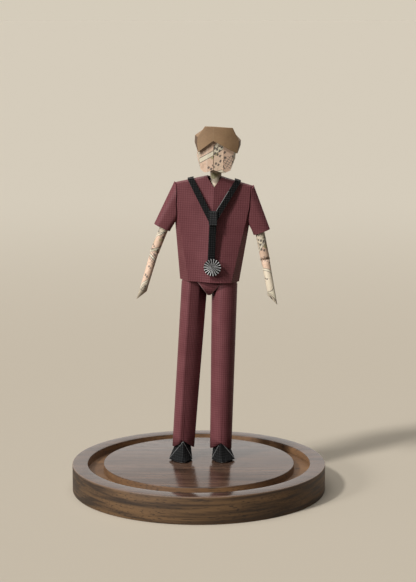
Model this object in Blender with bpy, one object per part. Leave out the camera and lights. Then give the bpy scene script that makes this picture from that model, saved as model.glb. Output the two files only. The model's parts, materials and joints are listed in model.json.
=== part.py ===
"""A folded-paper figure with a stethoscope, standing on a round walnut stand.

Units are metres and +Z is up. The origin is at the middle of the stand's underside. The
figure looks along -Y, so its left side is on +X. Everything above the stand is laid out in
the figure's own upright frame, which leans a little to its left on the stand.
"""
import math

import bmesh
import bpy
from mathutils import Matrix, Vector

MM = 0.001

# Paper and fits
PAPER = 0.5 * MM
FIT = 0.3 * MM
ROUND_SIDES = 32
SHARP_ANGLE = math.radians(35)
MERGE = 0.001 * MM

# Stand: a turned disc with a ring groove for a glass cover
STAND_RADIUS = 75 * MM
STAND_HEIGHT = 16 * MM
STAND_EDGE = 0.8 * MM
GROOVE_RADIUS = 61.2 * MM
GROOVE_WIDTH = 9.4 * MM
GROOVE_DEPTH = 5 * MM
STAND_SIDES = 96

# Where the figure stands, and how far it leans to its left
FIGURE_X = 1.5 * MM
FIGURE_Y = 8 * MM
FIGURE_LEAN = math.radians(2.6)

# Trousers: the hem height is above the top of the stand, the crotch is below the shirt hem
LEG_HEM_HEIGHT = 8 * MM
LEG_HEM_SPREAD = 11.2 * MM
LEG_HEM_RADIUS = 6.65 * MM
LEG_TOP_SPREAD = 8.85 * MM
LEG_TOP_RADIUS = 7.75 * MM
LEG_TUCK = 6 * MM
LEG_REVEAL = 1.5 * MM
NOTCH_WIDTH = 8.6 * MM
NOTCH_HEIGHT = 4 * MM
CROTCH_DROP = 8 * MM
CROTCH_HALF_WIDTH = 1.1 * MM
CROTCH_SLOPE = 0.7
SEAT_DEPTH = 5.4 * MM
SEAT_TUCK = 1.2 * MM
ROD_RADIUS = 1.25 * MM
ROD_SEAT = 8 * MM

# Shoes: measured from the middle of the trouser hem, along the stand
SHOE_TOE_REACH = 13 * MM
SHOE_OUTER_REACH = 8.5 * MM
SHOE_INNER_REACH = 5.4 * MM
SHOE_HEEL_REACH = 5 * MM
SHOE_WING_LIFT = 0.9 * MM
SHOE_WING_FORWARD = 5.6 * MM
SHOE_UNDERCUT = 1.4 * MM
SHOE_TONGUE_HEIGHT = 11.3 * MM
SHOE_ANKLE_HEIGHT = 10 * MM
SHOE_ANKLE_HALF_WIDTH = 4.3 * MM
SHOE_ANKLE_BACK = 3.9 * MM
SHOE_ANKLE_BACK_HALF_WIDTH = 2.2 * MM
SHOE_TOE_LIFT = 0.5 * MM

# Shirt: a front and a back, each a roof of two flat halves with bent-back sides. A rise is
# measured from the height below it, a drop from the height above it
HEM_HEIGHT = 108 * MM
HEM_HALF_WIDTH = 17.5 * MM
CHEST_RISE = 44 * MM
CHEST_HALF_WIDTH = 23.1 * MM
SHOULDER_RISE = 12.9 * MM
SHOULDER_INSET = 0.2 * MM
SHOULDER_DROP = 0.4 * MM
NECKLINE_RISE = 4.8 * MM
NECKLINE_HALF_WIDTH = 4.2 * MM
NECKLINE_POINT_DROP = 6.2 * MM
NAPE_DROP = 1.3 * MM
CHEST_FRONT = 7.6 * MM
CHEST_BACK = 7.2 * MM
SIDE_TURN = math.radians(58)
FRONT_ROOF = math.radians(11.5)
BACK_ROOF = math.radians(9)
FRONT_RAKE = math.radians(3.8)
BACK_RAKE = math.radians(4)

# Sleeves and arms: the spread is the angle away from upright
SLEEVE_SPREAD = math.radians(23)
SLEEVE_LENGTH = 27.1 * MM
SLEEVE_WIDTH = 10.3 * MM
ARM_RADIUS = 2.8 * MM
ARM_TUCK = 12 * MM
ARM_INSET = 1.2 * MM
WRIST_RADIUS = 2.4 * MM
ELBOW_CUT = math.radians(15)
ELBOW_BEND = math.radians(16)
HAND_LENGTH = 6.6 * MM
HAND_THICKNESS = 1.2 * MM
LEFT_ARM_SPREAD = math.radians(13.9)
LEFT_ARM_SHOWN = 16.4 * MM
LEFT_FOREARM_SPREAD = math.radians(13)
LEFT_FOREARM_LENGTH = 21.8 * MM
RIGHT_ARM_SPREAD = math.radians(19.5)
RIGHT_ARM_SHOWN = 14.9 * MM
RIGHT_FOREARM_SPREAD = math.radians(14.2)
RIGHT_FOREARM_LENGTH = 24.4 * MM

# Neck and head: head heights are above the jaw
NECK_X = 0.7 * MM
NECK_RADIUS = 3.6 * MM
NECK_STEM_RADIUS = 2.2 * MM
NECK_STEM_RISE = 6 * MM
NECK_SEAT = 10 * MM
NECK_PLUG_RADIUS = 3 * MM
NECK_PLUG_LENGTH = 14 * MM
JAW_RISE = 2.7 * MM
FACE_ROOF = math.radians(4)
FACE_CREASE = 4.6 * MM
FACE_CREASE_TURN = math.radians(9)
FACE_CORNER = 9.8 * MM
FACE_HALF_WIDTH = 11.3 * MM
FACE_DEPTH = 10.4 * MM
FACE_BACK = 4.5 * MM
FACE_TOP = 20 * MM
FACE_RIDGE_SHIFT = 2.2 * MM
CHEEK_HEIGHT = 7.5 * MM
JAW_CORNER_HEIGHT = 1.6 * MM
JAW_HALF_WIDTH = 9.2 * MM
CHIN_HALF_WIDTH = 6.5 * MM
CHIN_SHIFT = 0.5 * MM
HAIR_ROOF = math.radians(13)
HAIR_RAKE = math.radians(6)
HAIR_FRONT = 12.4 * MM
HAIR_PART_HEIGHT = 18.4 * MM
HAIR_PART_SHIFT = 2.5 * MM
HAIR_FRONT_SHIFT = 0.5 * MM
FRINGE_HALF_WIDTH = 11.4 * MM
FRINGE_HEIGHT = 11.6 * MM
TEMPLE_HALF_WIDTH = 12.1 * MM
TEMPLE_LOW = 16 * MM
TEMPLE_HIGH = 20.2 * MM
HAIR_HALF_WIDTH = 13.1 * MM
HAIR_SIDE = 3 * MM
HAIR_BACK = 12 * MM
NAPE_HALF_WIDTH = 8.8 * MM
NAPE_BACK = 9.5 * MM
HAIR_NAPE = 5 * MM
CROWN_HALF_WIDTH = 8 * MM
CROWN_BACK = 8.6 * MM
CROWN_BACK_HALF_WIDTH = 6.5 * MM
HAIR_TOP = 25.4 * MM

# Stethoscope: flat paper strips and a pleated rosette
STRAP_WIDTH = 3.5 * MM
STRAP_SHOULDER = 13.8 * MM
STRAP_LIFT = 0.8 * MM
STRAP_STANDOFF = 3.4 * MM
STRAP_TWIST = 8 * MM
STRAP_TAIL = 5 * MM
JOIN_DROP = 5 * MM
CLASP_X = 0.3 * MM
CLASP_WIDTH = 4 * MM
CLASP_RISE = 2.6 * MM
CLASP_HEIGHT = 6.9 * MM
CLASP_THICKNESS = 0.8 * MM
CLASP_EDGE = 0.15 * MM
DROP_LENGTH = 25.3 * MM
ROSETTE_X = 1.1 * MM
ROSETTE_RADIUS = 5.1 * MM
ROSETTE_EYE = 0.8 * MM
ROSETTE_PLEATS = 18
PLEAT_DEPTH = 0.55 * MM
PLEAT_PAPER = 0.3 * MM

# Places worked out from the sizes above: each height follows from the one below it
CROTCH_HEIGHT = HEM_HEIGHT - CROTCH_DROP
CHEST_HEIGHT = HEM_HEIGHT + CHEST_RISE
SHOULDER_HEIGHT = CHEST_HEIGHT + SHOULDER_RISE
SHOULDER_HALF_WIDTH = CHEST_HALF_WIDTH - SHOULDER_INSET
NECKLINE_HEIGHT = SHOULDER_HEIGHT + NECKLINE_RISE
NECKLINE_POINT = NECKLINE_HEIGHT - NECKLINE_POINT_DROP
NAPE_HEIGHT = NECKLINE_HEIGHT - NAPE_DROP
NECK_STEM_TOP = CHEST_HEIGHT + NECK_STEM_RISE
JAW_HEIGHT = NECKLINE_HEIGHT + JAW_RISE
JOIN_HEIGHT = CHEST_HEIGHT - JOIN_DROP
CLASP_TOP = JOIN_HEIGHT + CLASP_RISE
LEG_TOP_HEIGHT = HEM_HEIGHT - LEG_REVEAL
LEG_END_HEIGHT = HEM_HEIGHT + LEG_TUCK
BLOCK_BOTTOM = LEG_END_HEIGHT + FIT
SLEEVE_ROOT_X = CHEST_HALF_WIDTH + FIT
SLEEVE_DEPTH = 2 * (ARM_RADIUS + FIT + PAPER)
STRAP_FRONT = CHEST_FRONT + STRAP_STANDOFF
CLASP_BACK = STRAP_FRONT + PAPER / 2 + FIT
CLASP_BOTTOM = CLASP_TOP - CLASP_HEIGHT
DROP_DEPTH = CLASP_BACK + CLASP_THICKNESS / 2
ROSETTE_DEPTH = DROP_DEPTH + PAPER / 2 + FIT + PLEAT_DEPTH + PLEAT_PAPER

LEFT, RIGHT = 1, -1
SIDE_NAMES = {LEFT: "left", RIGHT: "right"}


def clear_scene():
    for obj in list(bpy.data.objects):
        bpy.data.objects.remove(obj)


def finish(name, colour, roughness):
    """A plain Principled material."""
    material = bpy.data.materials.new(name)
    material.use_nodes = True
    shader = material.node_tree.nodes["Principled BSDF"]
    shader.inputs["Base Color"].default_value = (*colour, 1)
    shader.inputs["Roughness"].default_value = roughness
    shader.inputs["Metallic"].default_value = 0
    material.diffuse_color = (*colour, 1)
    return material


def pivot(name, frame, parent=None):
    """An empty that carries pieces, placed by its frame in its parent."""
    empty = bpy.data.objects.new(name, None)
    bpy.context.collection.objects.link(empty)
    empty.parent = parent
    empty.matrix_local = frame
    return empty


def piece(name, bm, material, parent=None, frame=None, smooth=False):
    """Turn a bmesh into a named object under its parent."""
    bmesh.ops.recalc_face_normals(bm, faces=bm.faces)
    mesh = bpy.data.meshes.new(name)
    bm.to_mesh(mesh)
    bm.free()
    if smooth:
        mesh.shade_smooth()
        mesh.set_sharp_from_angle(angle=SHARP_ANGLE)
    obj = bpy.data.objects.new(name, mesh)
    bpy.context.collection.objects.link(obj)
    if material:
        mesh.materials.append(material)
    obj.parent = parent
    obj.matrix_local = frame or Matrix()
    return obj


def thicken(obj, wall=PAPER, offset=-1.0):
    """Give a sheet its paper thickness, inwards unless told otherwise."""
    sheet = obj.modifiers.new("paper thickness", "SOLIDIFY")
    sheet.thickness = wall
    sheet.offset = offset
    sheet.use_even_offset = True


def as_cutter(obj):
    obj.hide_render = True
    obj.display_type = "WIRE"
    return obj


def cut(obj, cutter):
    boolean = obj.modifiers.new("cut " + cutter.name, "BOOLEAN")
    boolean.operation = "DIFFERENCE"
    boolean.solver = "EXACT"
    boolean.object = cutter


def trim(bm, point, normal, cap):
    """Cut away what lies on the normal's side of a plane, and close a solid again."""
    geom = bm.verts[:] + bm.edges[:] + bm.faces[:]
    made = bmesh.ops.bisect_plane(bm, geom=geom, plane_co=point, plane_no=normal, clear_outer=True)
    if cap:
        edges = [item for item in made["geom_cut"] if isinstance(item, bmesh.types.BMEdge)]
        bmesh.ops.edgeloop_fill(bm, edges=edges)


def cut_away(bm, planes):
    """Remove the part of a sheet that lies behind all of some (point, normal) planes."""
    for point, normal in planes:
        geom = bm.verts[:] + bm.edges[:] + bm.faces[:]
        bmesh.ops.bisect_plane(bm, geom=geom, plane_co=point, plane_no=normal)
    behind = []
    for face in bm.faces:
        middle = face.calc_center_median()
        if all((middle - point).dot(normal) < 0 for point, normal in planes):
            behind.append(face)
    bmesh.ops.delete(bm, geom=behind, context="FACES")


def ring(bm, frame, radius_x, radius_y=None):
    """The edges of one circle or ellipse, flat in its frame."""
    scale = Matrix.Diagonal((radius_x, radius_y or radius_x, 1, 1))
    made = bmesh.ops.create_circle(bm, segments=ROUND_SIDES, radius=1, matrix=frame @ scale)
    return list({edge for vert in made["verts"] for edge in vert.link_edges})


def bridge(bm, rings, cap):
    for lower, upper in zip(rings, rings[1:]):
        bmesh.ops.bridge_loops(bm, edges=lower + upper)
    if cap:
        bmesh.ops.edgeloop_fill(bm, edges=rings[0])
        bmesh.ops.edgeloop_fill(bm, edges=rings[-1])


def outline_ring(bm, points):
    """The edges of one closed outline through some points."""
    verts = [bm.verts.new(point) for point in points]
    return [bm.edges.new((a, b)) for a, b in zip(verts, verts[1:] + verts[:1])]


def folded_sheet(corners, facets):
    """One half of a folded sheet, from its named corners, mirrored across x = 0."""
    bm = bmesh.new()
    made = {name: bm.verts.new(place) for name, place in corners.items()}
    for facet in facets:
        bm.faces.new([made[name] for name in facet])
    geom = bm.verts[:] + bm.edges[:] + bm.faces[:]
    bmesh.ops.mirror(bm, geom=geom, axis="X", merge_dist=MERGE)
    return bm


def inset_outline(points, distance):
    """A convex outline moved inwards by a distance, side by side."""
    count = len(points)
    middle = sum(points, Vector((0, 0))) / count
    sides = []
    for index, start in enumerate(points):
        along = (points[(index + 1) % count] - start).normalized()
        inward = Vector((-along.y, along.x))
        if inward.dot(middle - start) < 0:
            inward = -inward
        sides.append((start + inward * distance, along))
    inset = []
    for index in range(count):
        first, first_along = sides[index - 1]
        second, second_along = sides[index]
        gap = second - first
        share = gap.cross(second_along) / first_along.cross(second_along)
        inset.append(first + first_along * share)
    return inset


def mirrored_outline(half):
    """A whole outline from its points on x >= 0, front to back."""
    left = [Vector((x, y)) for x, y in half]
    right = [Vector((-point.x, point.y)) for point in reversed(left) if point.x > 0]
    return left + right


def block_between(levels):
    """A solid through flat outlines, each inset to clear the paper around it."""
    bm = bmesh.new()
    rings = []
    for height, half in levels:
        points = inset_outline(mirrored_outline(half), PAPER + FIT)
        rings.append(outline_ring(bm, [(point.x, point.y, height) for point in points]))
    bridge(bm, rings, cap=True)
    return bm


def rod_solid(radius, start, end):
    """A round bar between two points."""
    axis = end - start
    turn = axis.to_track_quat("Z", "X").to_matrix().to_4x4()
    bm = bmesh.new()
    rings = [ring(bm, Matrix.Translation(point) @ turn, radius) for point in (start, end)]
    bridge(bm, rings, cap=True)
    return bm


def turned_solid(profile, sides):
    """A closed solid of revolution from (radius, height) points that start and end on the axis."""
    bm = bmesh.new()
    verts = [bm.verts.new((radius, 0, height)) for radius, height in profile]
    edges = [bm.edges.new(pair) for pair in zip(verts, verts[1:])]
    bmesh.ops.spin(bm, geom=verts + edges, cent=(0, 0, 0), axis=(0, 0, 1), angle=math.tau,
                   steps=sides, use_merge=True)
    bmesh.ops.remove_doubles(bm, verts=bm.verts, dist=MERGE)
    return bm


def ribbon(bm, stations, width):
    """A flat strip through stations of (point, direction across the strip)."""
    rows = []
    for point, across in stations:
        half = across.normalized() * width / 2
        rows.append((bm.verts.new(point - half), bm.verts.new(point + half)))
    for (a, b), (c, d) in zip(rows, rows[1:]):
        bm.faces.new((a, b, d, c))


def make_stand(material):
    groove_inner = GROOVE_RADIUS - GROOVE_WIDTH / 2
    groove_outer = GROOVE_RADIUS + GROOVE_WIDTH / 2
    groove_floor = STAND_HEIGHT - GROOVE_DEPTH
    profile = [
        (0, STAND_HEIGHT),
        (groove_inner, STAND_HEIGHT),
        (groove_inner, groove_floor),
        (groove_outer, groove_floor),
        (groove_outer, STAND_HEIGHT),
        (STAND_RADIUS - STAND_EDGE, STAND_HEIGHT),
        (STAND_RADIUS, STAND_HEIGHT - STAND_EDGE),
        (STAND_RADIUS, STAND_EDGE),
        (STAND_RADIUS - STAND_EDGE, 0),
        (0, 0),
    ]
    return piece("stand", turned_solid(profile, STAND_SIDES), material, smooth=True)


def figure_frame():
    """Where the figure stands on the stand."""
    place = Matrix.Translation((FIGURE_X, FIGURE_Y, STAND_HEIGHT))
    return place @ Matrix.Rotation(FIGURE_LEAN, 4, "Y")


def leg_axis(side, height):
    """A point on a leg's middle line, in the figure's frame."""
    rise = (height - LEG_HEM_HEIGHT) / (LEG_TOP_HEIGHT - LEG_HEM_HEIGHT)
    spread = LEG_HEM_SPREAD + (LEG_TOP_SPREAD - LEG_HEM_SPREAD) * rise
    return Vector((side * spread, 0, height))


def room_in_shirt(spread, height):
    """The largest tube around a leg's middle line that clears the inside of the shirt."""
    half = [Vector(point) for point in shirt_outline(height)]
    middle = Vector((spread, 0))
    walls = []
    for start, end in zip(half, half[1:]):
        along = (end - start).normalized()
        walls.append(abs(along.cross(middle - start)))
    return min(walls) - PAPER - FIT


def make_rod(side, figure, material):
    """A support rod, and the bore that clears it."""
    name = SIDE_NAMES[side] + "_leg_rod"
    bottom, top = -ROD_SEAT, BLOCK_BOTTOM + ROD_SEAT
    solid = rod_solid(ROD_RADIUS, leg_axis(side, bottom), leg_axis(side, top))
    piece(name, solid, material, figure, smooth=True)
    bore = rod_solid(ROD_RADIUS + FIT, leg_axis(side, bottom - FIT), leg_axis(side, top + FIT))
    return as_cutter(piece(name + "_bore", bore, None, figure))


def make_leg(side, figure, material):
    """A tapered tube, notched at the front of its hem and cut away at the crotch."""
    bm = bmesh.new()
    tucked = min(LEG_TOP_RADIUS, room_in_shirt(leg_axis(LEFT, HEM_HEIGHT).x, HEM_HEIGHT))
    levels = [
        (LEG_HEM_HEIGHT, LEG_HEM_RADIUS),
        (LEG_TOP_HEIGHT, LEG_TOP_RADIUS),
        (HEM_HEIGHT, tucked),
        (LEG_END_HEIGHT, tucked),
    ]
    rings = [ring(bm, Matrix.Translation(leg_axis(side, height)), radius) for height, radius in levels]
    bridge(bm, rings, cap=False)

    notch_top = Vector((side * LEG_HEM_SPREAD, 0, LEG_HEM_HEIGHT + NOTCH_HEIGHT))
    notch = [(notch_top, Vector((lean * NOTCH_HEIGHT, 0, NOTCH_WIDTH / 2))) for lean in (LEFT, RIGHT)]
    cut_away(bm, notch + [(notch_top, Vector((0, 1, 0)))])

    crotch = Vector((side * CROTCH_HALF_WIDTH, 0, CROTCH_HEIGHT))
    trim(bm, crotch, Vector((-side, 0, CROTCH_SLOPE)).normalized(), cap=False)
    leg = piece(SIDE_NAMES[side] + "_trouser_leg", bm, material, figure, smooth=True)
    thicken(leg)


def make_seat_panel(name, depth, figure, material):
    """The V of paper that shows between the tops of the legs."""
    top = HEM_HEIGHT + SEAT_TUCK
    gap = FIT * math.hypot(1, CROTCH_SLOPE)
    low_half = CROTCH_HALF_WIDTH - gap
    top_half = low_half + (top - CROTCH_HEIGHT) * CROTCH_SLOPE
    bm = bmesh.new()
    outline = [(low_half, CROTCH_HEIGHT), (top_half, top), (-top_half, top), (-low_half, CROTCH_HEIGHT)]
    bm.faces.new([bm.verts.new((x, depth, z)) for x, z in outline])
    thicken(piece(name, bm, material, figure), offset=0)


def make_shoe(side, bore, material):
    """A folded prow: flat sole, lifted side tips and a ridge up to the tongue."""
    sole_heel = SHOE_HEEL_REACH - SHOE_UNDERCUT
    floor = FIT
    middle = [
        (-SHOE_TOE_REACH + SHOE_UNDERCUT, floor),
        (-SHOE_TOE_REACH, SHOE_TOE_LIFT),
        (-LEG_HEM_RADIUS + 2 * PAPER, SHOE_TONGUE_HEIGHT),
    ]
    corners = [(0, y, z) for y, z in middle]
    for out, reach in ((1, SHOE_OUTER_REACH), (-1, SHOE_INNER_REACH)):
        corners += [
            (out * (reach - SHOE_UNDERCUT), -SHOE_WING_FORWARD, floor),
            (out * reach, -SHOE_WING_FORWARD, SHOE_WING_LIFT),
            (out * SHOE_ANKLE_HALF_WIDTH, sole_heel, floor),
            (out * SHOE_ANKLE_HALF_WIDTH, 0, SHOE_ANKLE_HEIGHT),
            (out * SHOE_ANKLE_BACK_HALF_WIDTH, SHOE_ANKLE_BACK, SHOE_ANKLE_HEIGHT),
        ]
    bm = bmesh.new()
    verts = [bm.verts.new((side * x, y, z)) for x, y, z in corners]
    hull = bmesh.ops.convex_hull(bm, input=verts)
    loose = [item for item in hull["geom_interior"] if isinstance(item, bmesh.types.BMVert)]
    bmesh.ops.delete(bm, geom=loose, context="VERTS")
    hem = figure_frame() @ leg_axis(side, LEG_HEM_HEIGHT)
    place = Matrix.Translation((hem.x, hem.y, STAND_HEIGHT))
    shoe = piece(SIDE_NAMES[side] + "_shoe", bm, material, frame=place)
    cut(shoe, bore)


def front_y(x, z):
    """Depth of the shirt's front, a roof of two flat halves."""
    return -CHEST_FRONT - (CHEST_HEIGHT - z) * math.tan(FRONT_RAKE) + x * math.tan(FRONT_ROOF)


def back_y(x, z):
    """Depth of the shirt's back."""
    return CHEST_BACK + (CHEST_HEIGHT - z) * math.tan(BACK_RAKE) - x * math.tan(BACK_ROOF)


def side_crease(side, height, depth):
    """Where a side, bent back from the side fold, meets the front or the back at one height."""
    at_side = depth(side, height)
    slope = (at_side - depth(0, height)) / side
    away = math.copysign(math.tan(SIDE_TURN), at_side)
    x = side - at_side / (away + slope)
    return x, depth(x, height)


def shirt_outline(height):
    """The shirt's outline between hem and chest, on x >= 0, front to back."""
    rise = (height - HEM_HEIGHT) / (CHEST_HEIGHT - HEM_HEIGHT)
    side = HEM_HALF_WIDTH + (CHEST_HALF_WIDTH - HEM_HALF_WIDTH) * rise
    return [
        (0, front_y(0, height)),
        side_crease(side, height, front_y),
        (side, 0),
        side_crease(side, height, back_y),
        (0, back_y(0, height)),
    ]


def shirt_shell(name, figure, material):
    """The whole shirt as one folded shell, open at the hem and the neck."""
    shoulder = SHOULDER_HEIGHT - SHOULDER_DROP
    neckline = NECKLINE_HEIGHT - SHOULDER_DROP
    corners = {
        "shoulder": (SHOULDER_HALF_WIDTH, 0, SHOULDER_HEIGHT),
        "neck": (NECKLINE_HALF_WIDTH, 0, NECKLINE_HEIGHT),
    }
    for face, depth, point in (("front", front_y, NECKLINE_POINT), ("back", back_y, NAPE_HEIGHT)):
        inner = {"collar": (0, point), "neck": (NECKLINE_HALF_WIDTH, neckline), "middle": (0, HEM_HEIGHT)}
        for corner, (x, z) in inner.items():
            corners[face + " " + corner] = (x, depth(x, z), z)
        outer = {
            "shoulder": (SHOULDER_HALF_WIDTH, shoulder),
            "chest": (CHEST_HALF_WIDTH, CHEST_HEIGHT),
            "hem": (HEM_HALF_WIDTH, HEM_HEIGHT),
        }
        for corner, (side, z) in outer.items():
            corners[face + " " + corner] = (*side_crease(side, z, depth), z)
    corners["chest side"] = (CHEST_HALF_WIDTH, 0, CHEST_HEIGHT)
    corners["hem side"] = (HEM_HALF_WIDTH, 0, HEM_HEIGHT)
    facets = []
    for face in ("front ", "back "):
        panel = ("collar", "neck", "shoulder", "chest", "hem", "middle")
        facets.append([face + corner for corner in panel])
        facets.append(["shoulder", "chest side", face + "chest", face + "shoulder"])
        facets.append(["chest side", "hem side", face + "hem", face + "chest"])
        facets.append(["neck", "shoulder", face + "shoulder", face + "neck"])
    shell = piece(name, folded_sheet(corners, facets), material, figure)
    thicken(shell)
    return shell


def make_shirt(figure, material):
    """Front and back are the two halves of the shell, parted along the side and shoulder folds."""
    reach = CHEST_HALF_WIDTH + CHEST_RISE
    for name, away in (("shirt_front", 1), ("shirt_back", -1)):
        bm = bmesh.new()
        bmesh.ops.create_cube(bm, size=2 * reach)
        middle = Matrix.Translation((0, away * (reach - FIT / 2), CHEST_HEIGHT))
        parting = as_cutter(piece(name + "_parting", bm, None, figure, middle))
        cut(shirt_shell(name, figure, material), parting)


def make_body_block(figure, bores, material):
    """The block inside the shirt that carries legs, shirt and neck."""
    levels = [(height, shirt_outline(height)) for height in (BLOCK_BOTTOM, CHEST_HEIGHT)]
    block = piece("body_block", block_between(levels), material, figure)
    socket_floor = Vector((NECK_X, 0, CHEST_HEIGHT - NECK_SEAT - FIT))
    socket_mouth = Vector((NECK_X, 0, CHEST_HEIGHT + NECK_SEAT))
    socket = rod_solid(NECK_STEM_RADIUS + FIT, socket_floor, socket_mouth)
    bores = bores + [as_cutter(piece("neck_socket", socket, None, figure))]
    for bore in bores:
        cut(block, bore)


def make_neck(figure, material):
    """A rolled neck: a thin stem in the body, a flare to the jaw and a plug in the head."""
    plug_bottom = JAW_HEIGHT + FIT
    profile = [
        (0, JAW_HEIGHT + NECK_PLUG_LENGTH),
        (NECK_PLUG_RADIUS, JAW_HEIGHT + NECK_PLUG_LENGTH),
        (NECK_PLUG_RADIUS, plug_bottom),
        (NECK_RADIUS, plug_bottom),
        (NECK_STEM_RADIUS, NECK_STEM_TOP),
        (NECK_STEM_RADIUS, CHEST_HEIGHT - NECK_SEAT),
        (0, CHEST_HEIGHT - NECK_SEAT),
    ]
    place = Matrix.Translation((NECK_X, 0, 0))
    piece("neck", turned_solid(profile, ROUND_SIDES), material, figure, place, smooth=True)


def face_y(x):
    """Depth of the face's front: a shallow ridge that turns further back at each crease."""
    near = min(x, FACE_CREASE) * math.tan(FACE_ROOF)
    far = max(x - FACE_CREASE, 0) * math.tan(FACE_ROOF + FACE_CREASE_TURN)
    return -FACE_DEPTH + near + far


def slide_ridge(bm):
    """Slide the face's front folds to the figure's right, the ridge most and the corners not at all."""
    for vert in bm.verts:
        share = 1 - abs(vert.co.x) / FACE_CORNER
        vert.co.x -= FACE_RIDGE_SHIFT * max(0, share)


def make_face(head, material):
    """The folded face: an off-centre ridge, two creases, cheeks and a jaw, open below."""
    front = {
        "ridge low": (0, JAW_CORNER_HEIGHT),
        "ridge top": (0, FACE_TOP),
        "crease low": (FACE_CREASE, 0),
        "crease top": (FACE_CREASE, FACE_TOP),
        "chin": (CHIN_HALF_WIDTH, 0),
        "jaw": (JAW_HALF_WIDTH, JAW_CORNER_HEIGHT),
        "cheek": (FACE_CORNER, CHEEK_HEIGHT),
        "brow": (FACE_CORNER, FACE_TOP),
    }
    corners = {name: (x, face_y(x), z) for name, (x, z) in front.items()}
    corners["jaw back"] = (JAW_HALF_WIDTH, FACE_BACK, JAW_CORNER_HEIGHT)
    corners["cheek back"] = (FACE_HALF_WIDTH, FACE_BACK, CHEEK_HEIGHT)
    corners["brow back"] = (FACE_HALF_WIDTH, FACE_BACK, FACE_TOP)
    facets = [
        ("ridge low", "crease low", "crease top", "ridge top"),
        ("crease low", "chin", "jaw", "cheek", "brow", "crease top"),
        ("jaw", "jaw back", "cheek back", "cheek"),
        ("cheek", "cheek back", "brow back", "brow"),
    ]
    bm = folded_sheet(corners, facets)
    slide_ridge(bm)
    for vert in bm.verts:
        vert.co.x += CHIN_SHIFT * max(0, 1 - vert.co.z / CHEEK_HEIGHT)
    thicken(piece("face", bm, material, head))


def hair_y(x, z):
    """Depth of the hair's front, two flat halves that lean back towards the crown."""
    from_part = abs(x + HAIR_PART_SHIFT)
    return -HAIR_FRONT + from_part * math.tan(HAIR_ROOF) + (z - HAIR_PART_HEIGHT) * math.tan(HAIR_RAKE)


def set_hair_front(bm):
    """Move the part to the figure's right and the front corners a little to its left, on flat halves."""
    for vert in bm.verts:
        if vert.co.y < 0:
            at_part = abs(vert.co.x) < MERGE
            vert.co.x += -HAIR_PART_SHIFT if at_part else HAIR_FRONT_SHIFT
            vert.co.y = hair_y(vert.co.x, vert.co.z)


def make_hair(head, material):
    """The folded hair: a front parted off centre, sides bent back, a flat crown and a straight nape."""
    front = {
        "part": (0, HAIR_PART_HEIGHT),
        "fringe": (FRINGE_HALF_WIDTH, FRINGE_HEIGHT),
        "temple low": (TEMPLE_HALF_WIDTH, TEMPLE_LOW),
        "temple": (TEMPLE_HALF_WIDTH, TEMPLE_HIGH),
        "crown corner": (CROWN_HALF_WIDTH, HAIR_TOP),
        "crown front": (0, HAIR_TOP),
    }
    corners = {name: (x, hair_y(x, z), z) for name, (x, z) in front.items()}
    corners.update({
        "side low": (HAIR_HALF_WIDTH, HAIR_SIDE, TEMPLE_LOW),
        "side": (HAIR_HALF_WIDTH, HAIR_SIDE, TEMPLE_HIGH),
        "crown side": (CROWN_HALF_WIDTH, HAIR_SIDE, HAIR_TOP),
        "nape side": (NAPE_HALF_WIDTH, NAPE_BACK, HAIR_NAPE),
        "back side": (NAPE_HALF_WIDTH, NAPE_BACK, TEMPLE_HIGH),
        "nape": (0, HAIR_BACK, HAIR_NAPE),
        "back": (0, HAIR_BACK, TEMPLE_HIGH),
        "crown back": (CROWN_BACK_HALF_WIDTH, CROWN_BACK, HAIR_TOP),
        "crown end": (0, CROWN_BACK, HAIR_TOP),
    })
    facets = [
        ("part", "fringe", "temple low", "temple", "crown corner", "crown front"),
        ("fringe", "side low", "temple low"),
        ("temple low", "side low", "side", "temple"),
        ("temple", "side", "crown side", "crown corner"),
        ("side low", "nape side", "back side", "side"),
        ("side", "back side", "crown back", "crown side"),
        ("nape side", "nape", "back", "back side"),
        ("back side", "back", "crown end", "crown back"),
        ("crown front", "crown corner", "crown side", "crown back", "crown end"),
    ]
    bm = folded_sheet(corners, facets)
    set_hair_front(bm)
    thicken(piece("hair", bm, material, head))


def make_head_block(head, material):
    """The block that face and hair are folded around, with the socket that turns on the neck."""
    brow = face_y(FACE_CORNER)
    crown_half = CROWN_HALF_WIDTH - HAIR_FRONT_SHIFT
    crown_front = hair_y(CROWN_HALF_WIDTH + HAIR_FRONT_SHIFT, HAIR_TOP)
    cheeks = [(FACE_CORNER, brow), (FACE_HALF_WIDTH, FACE_BACK)]
    top = [(crown_half, crown_front), (crown_half, HAIR_SIDE)]
    levels = [(CHEEK_HEIGHT + FIT, cheeks), (FACE_TOP, cheeks), (HAIR_TOP - PAPER - FIT, top)]
    block = piece("head_block", block_between(levels), material, head)
    socket = rod_solid(NECK_PLUG_RADIUS + FIT, Vector((0, 0, 0)), Vector((0, 0, NECK_PLUG_LENGTH + FIT)))
    cut(block, as_cutter(piece("neck_plug_socket", socket, None, head)))


def sleeve_frame(side):
    """The shoulder fold: its axis is Y, and the sleeve hangs along local -Z."""
    place = Matrix.Translation((side * SLEEVE_ROOT_X, 0, SHOULDER_HEIGHT))
    return place @ Matrix.Rotation(-side * SLEEVE_SPREAD, 4, "Y")


def slot_ring(bm, middle, width, depth, height):
    """A ring of straight sides and round ends, flat at a height."""
    radius = depth / 2
    reach = width / 2 - radius
    verts = []
    for index in range(ROUND_SIDES):
        angle = math.tau * (index + 0.5) / ROUND_SIDES
        shift = math.copysign(reach, math.cos(angle))
        verts.append((middle + shift + radius * math.cos(angle), radius * math.sin(angle), height))
    return outline_ring(bm, verts)


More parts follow.
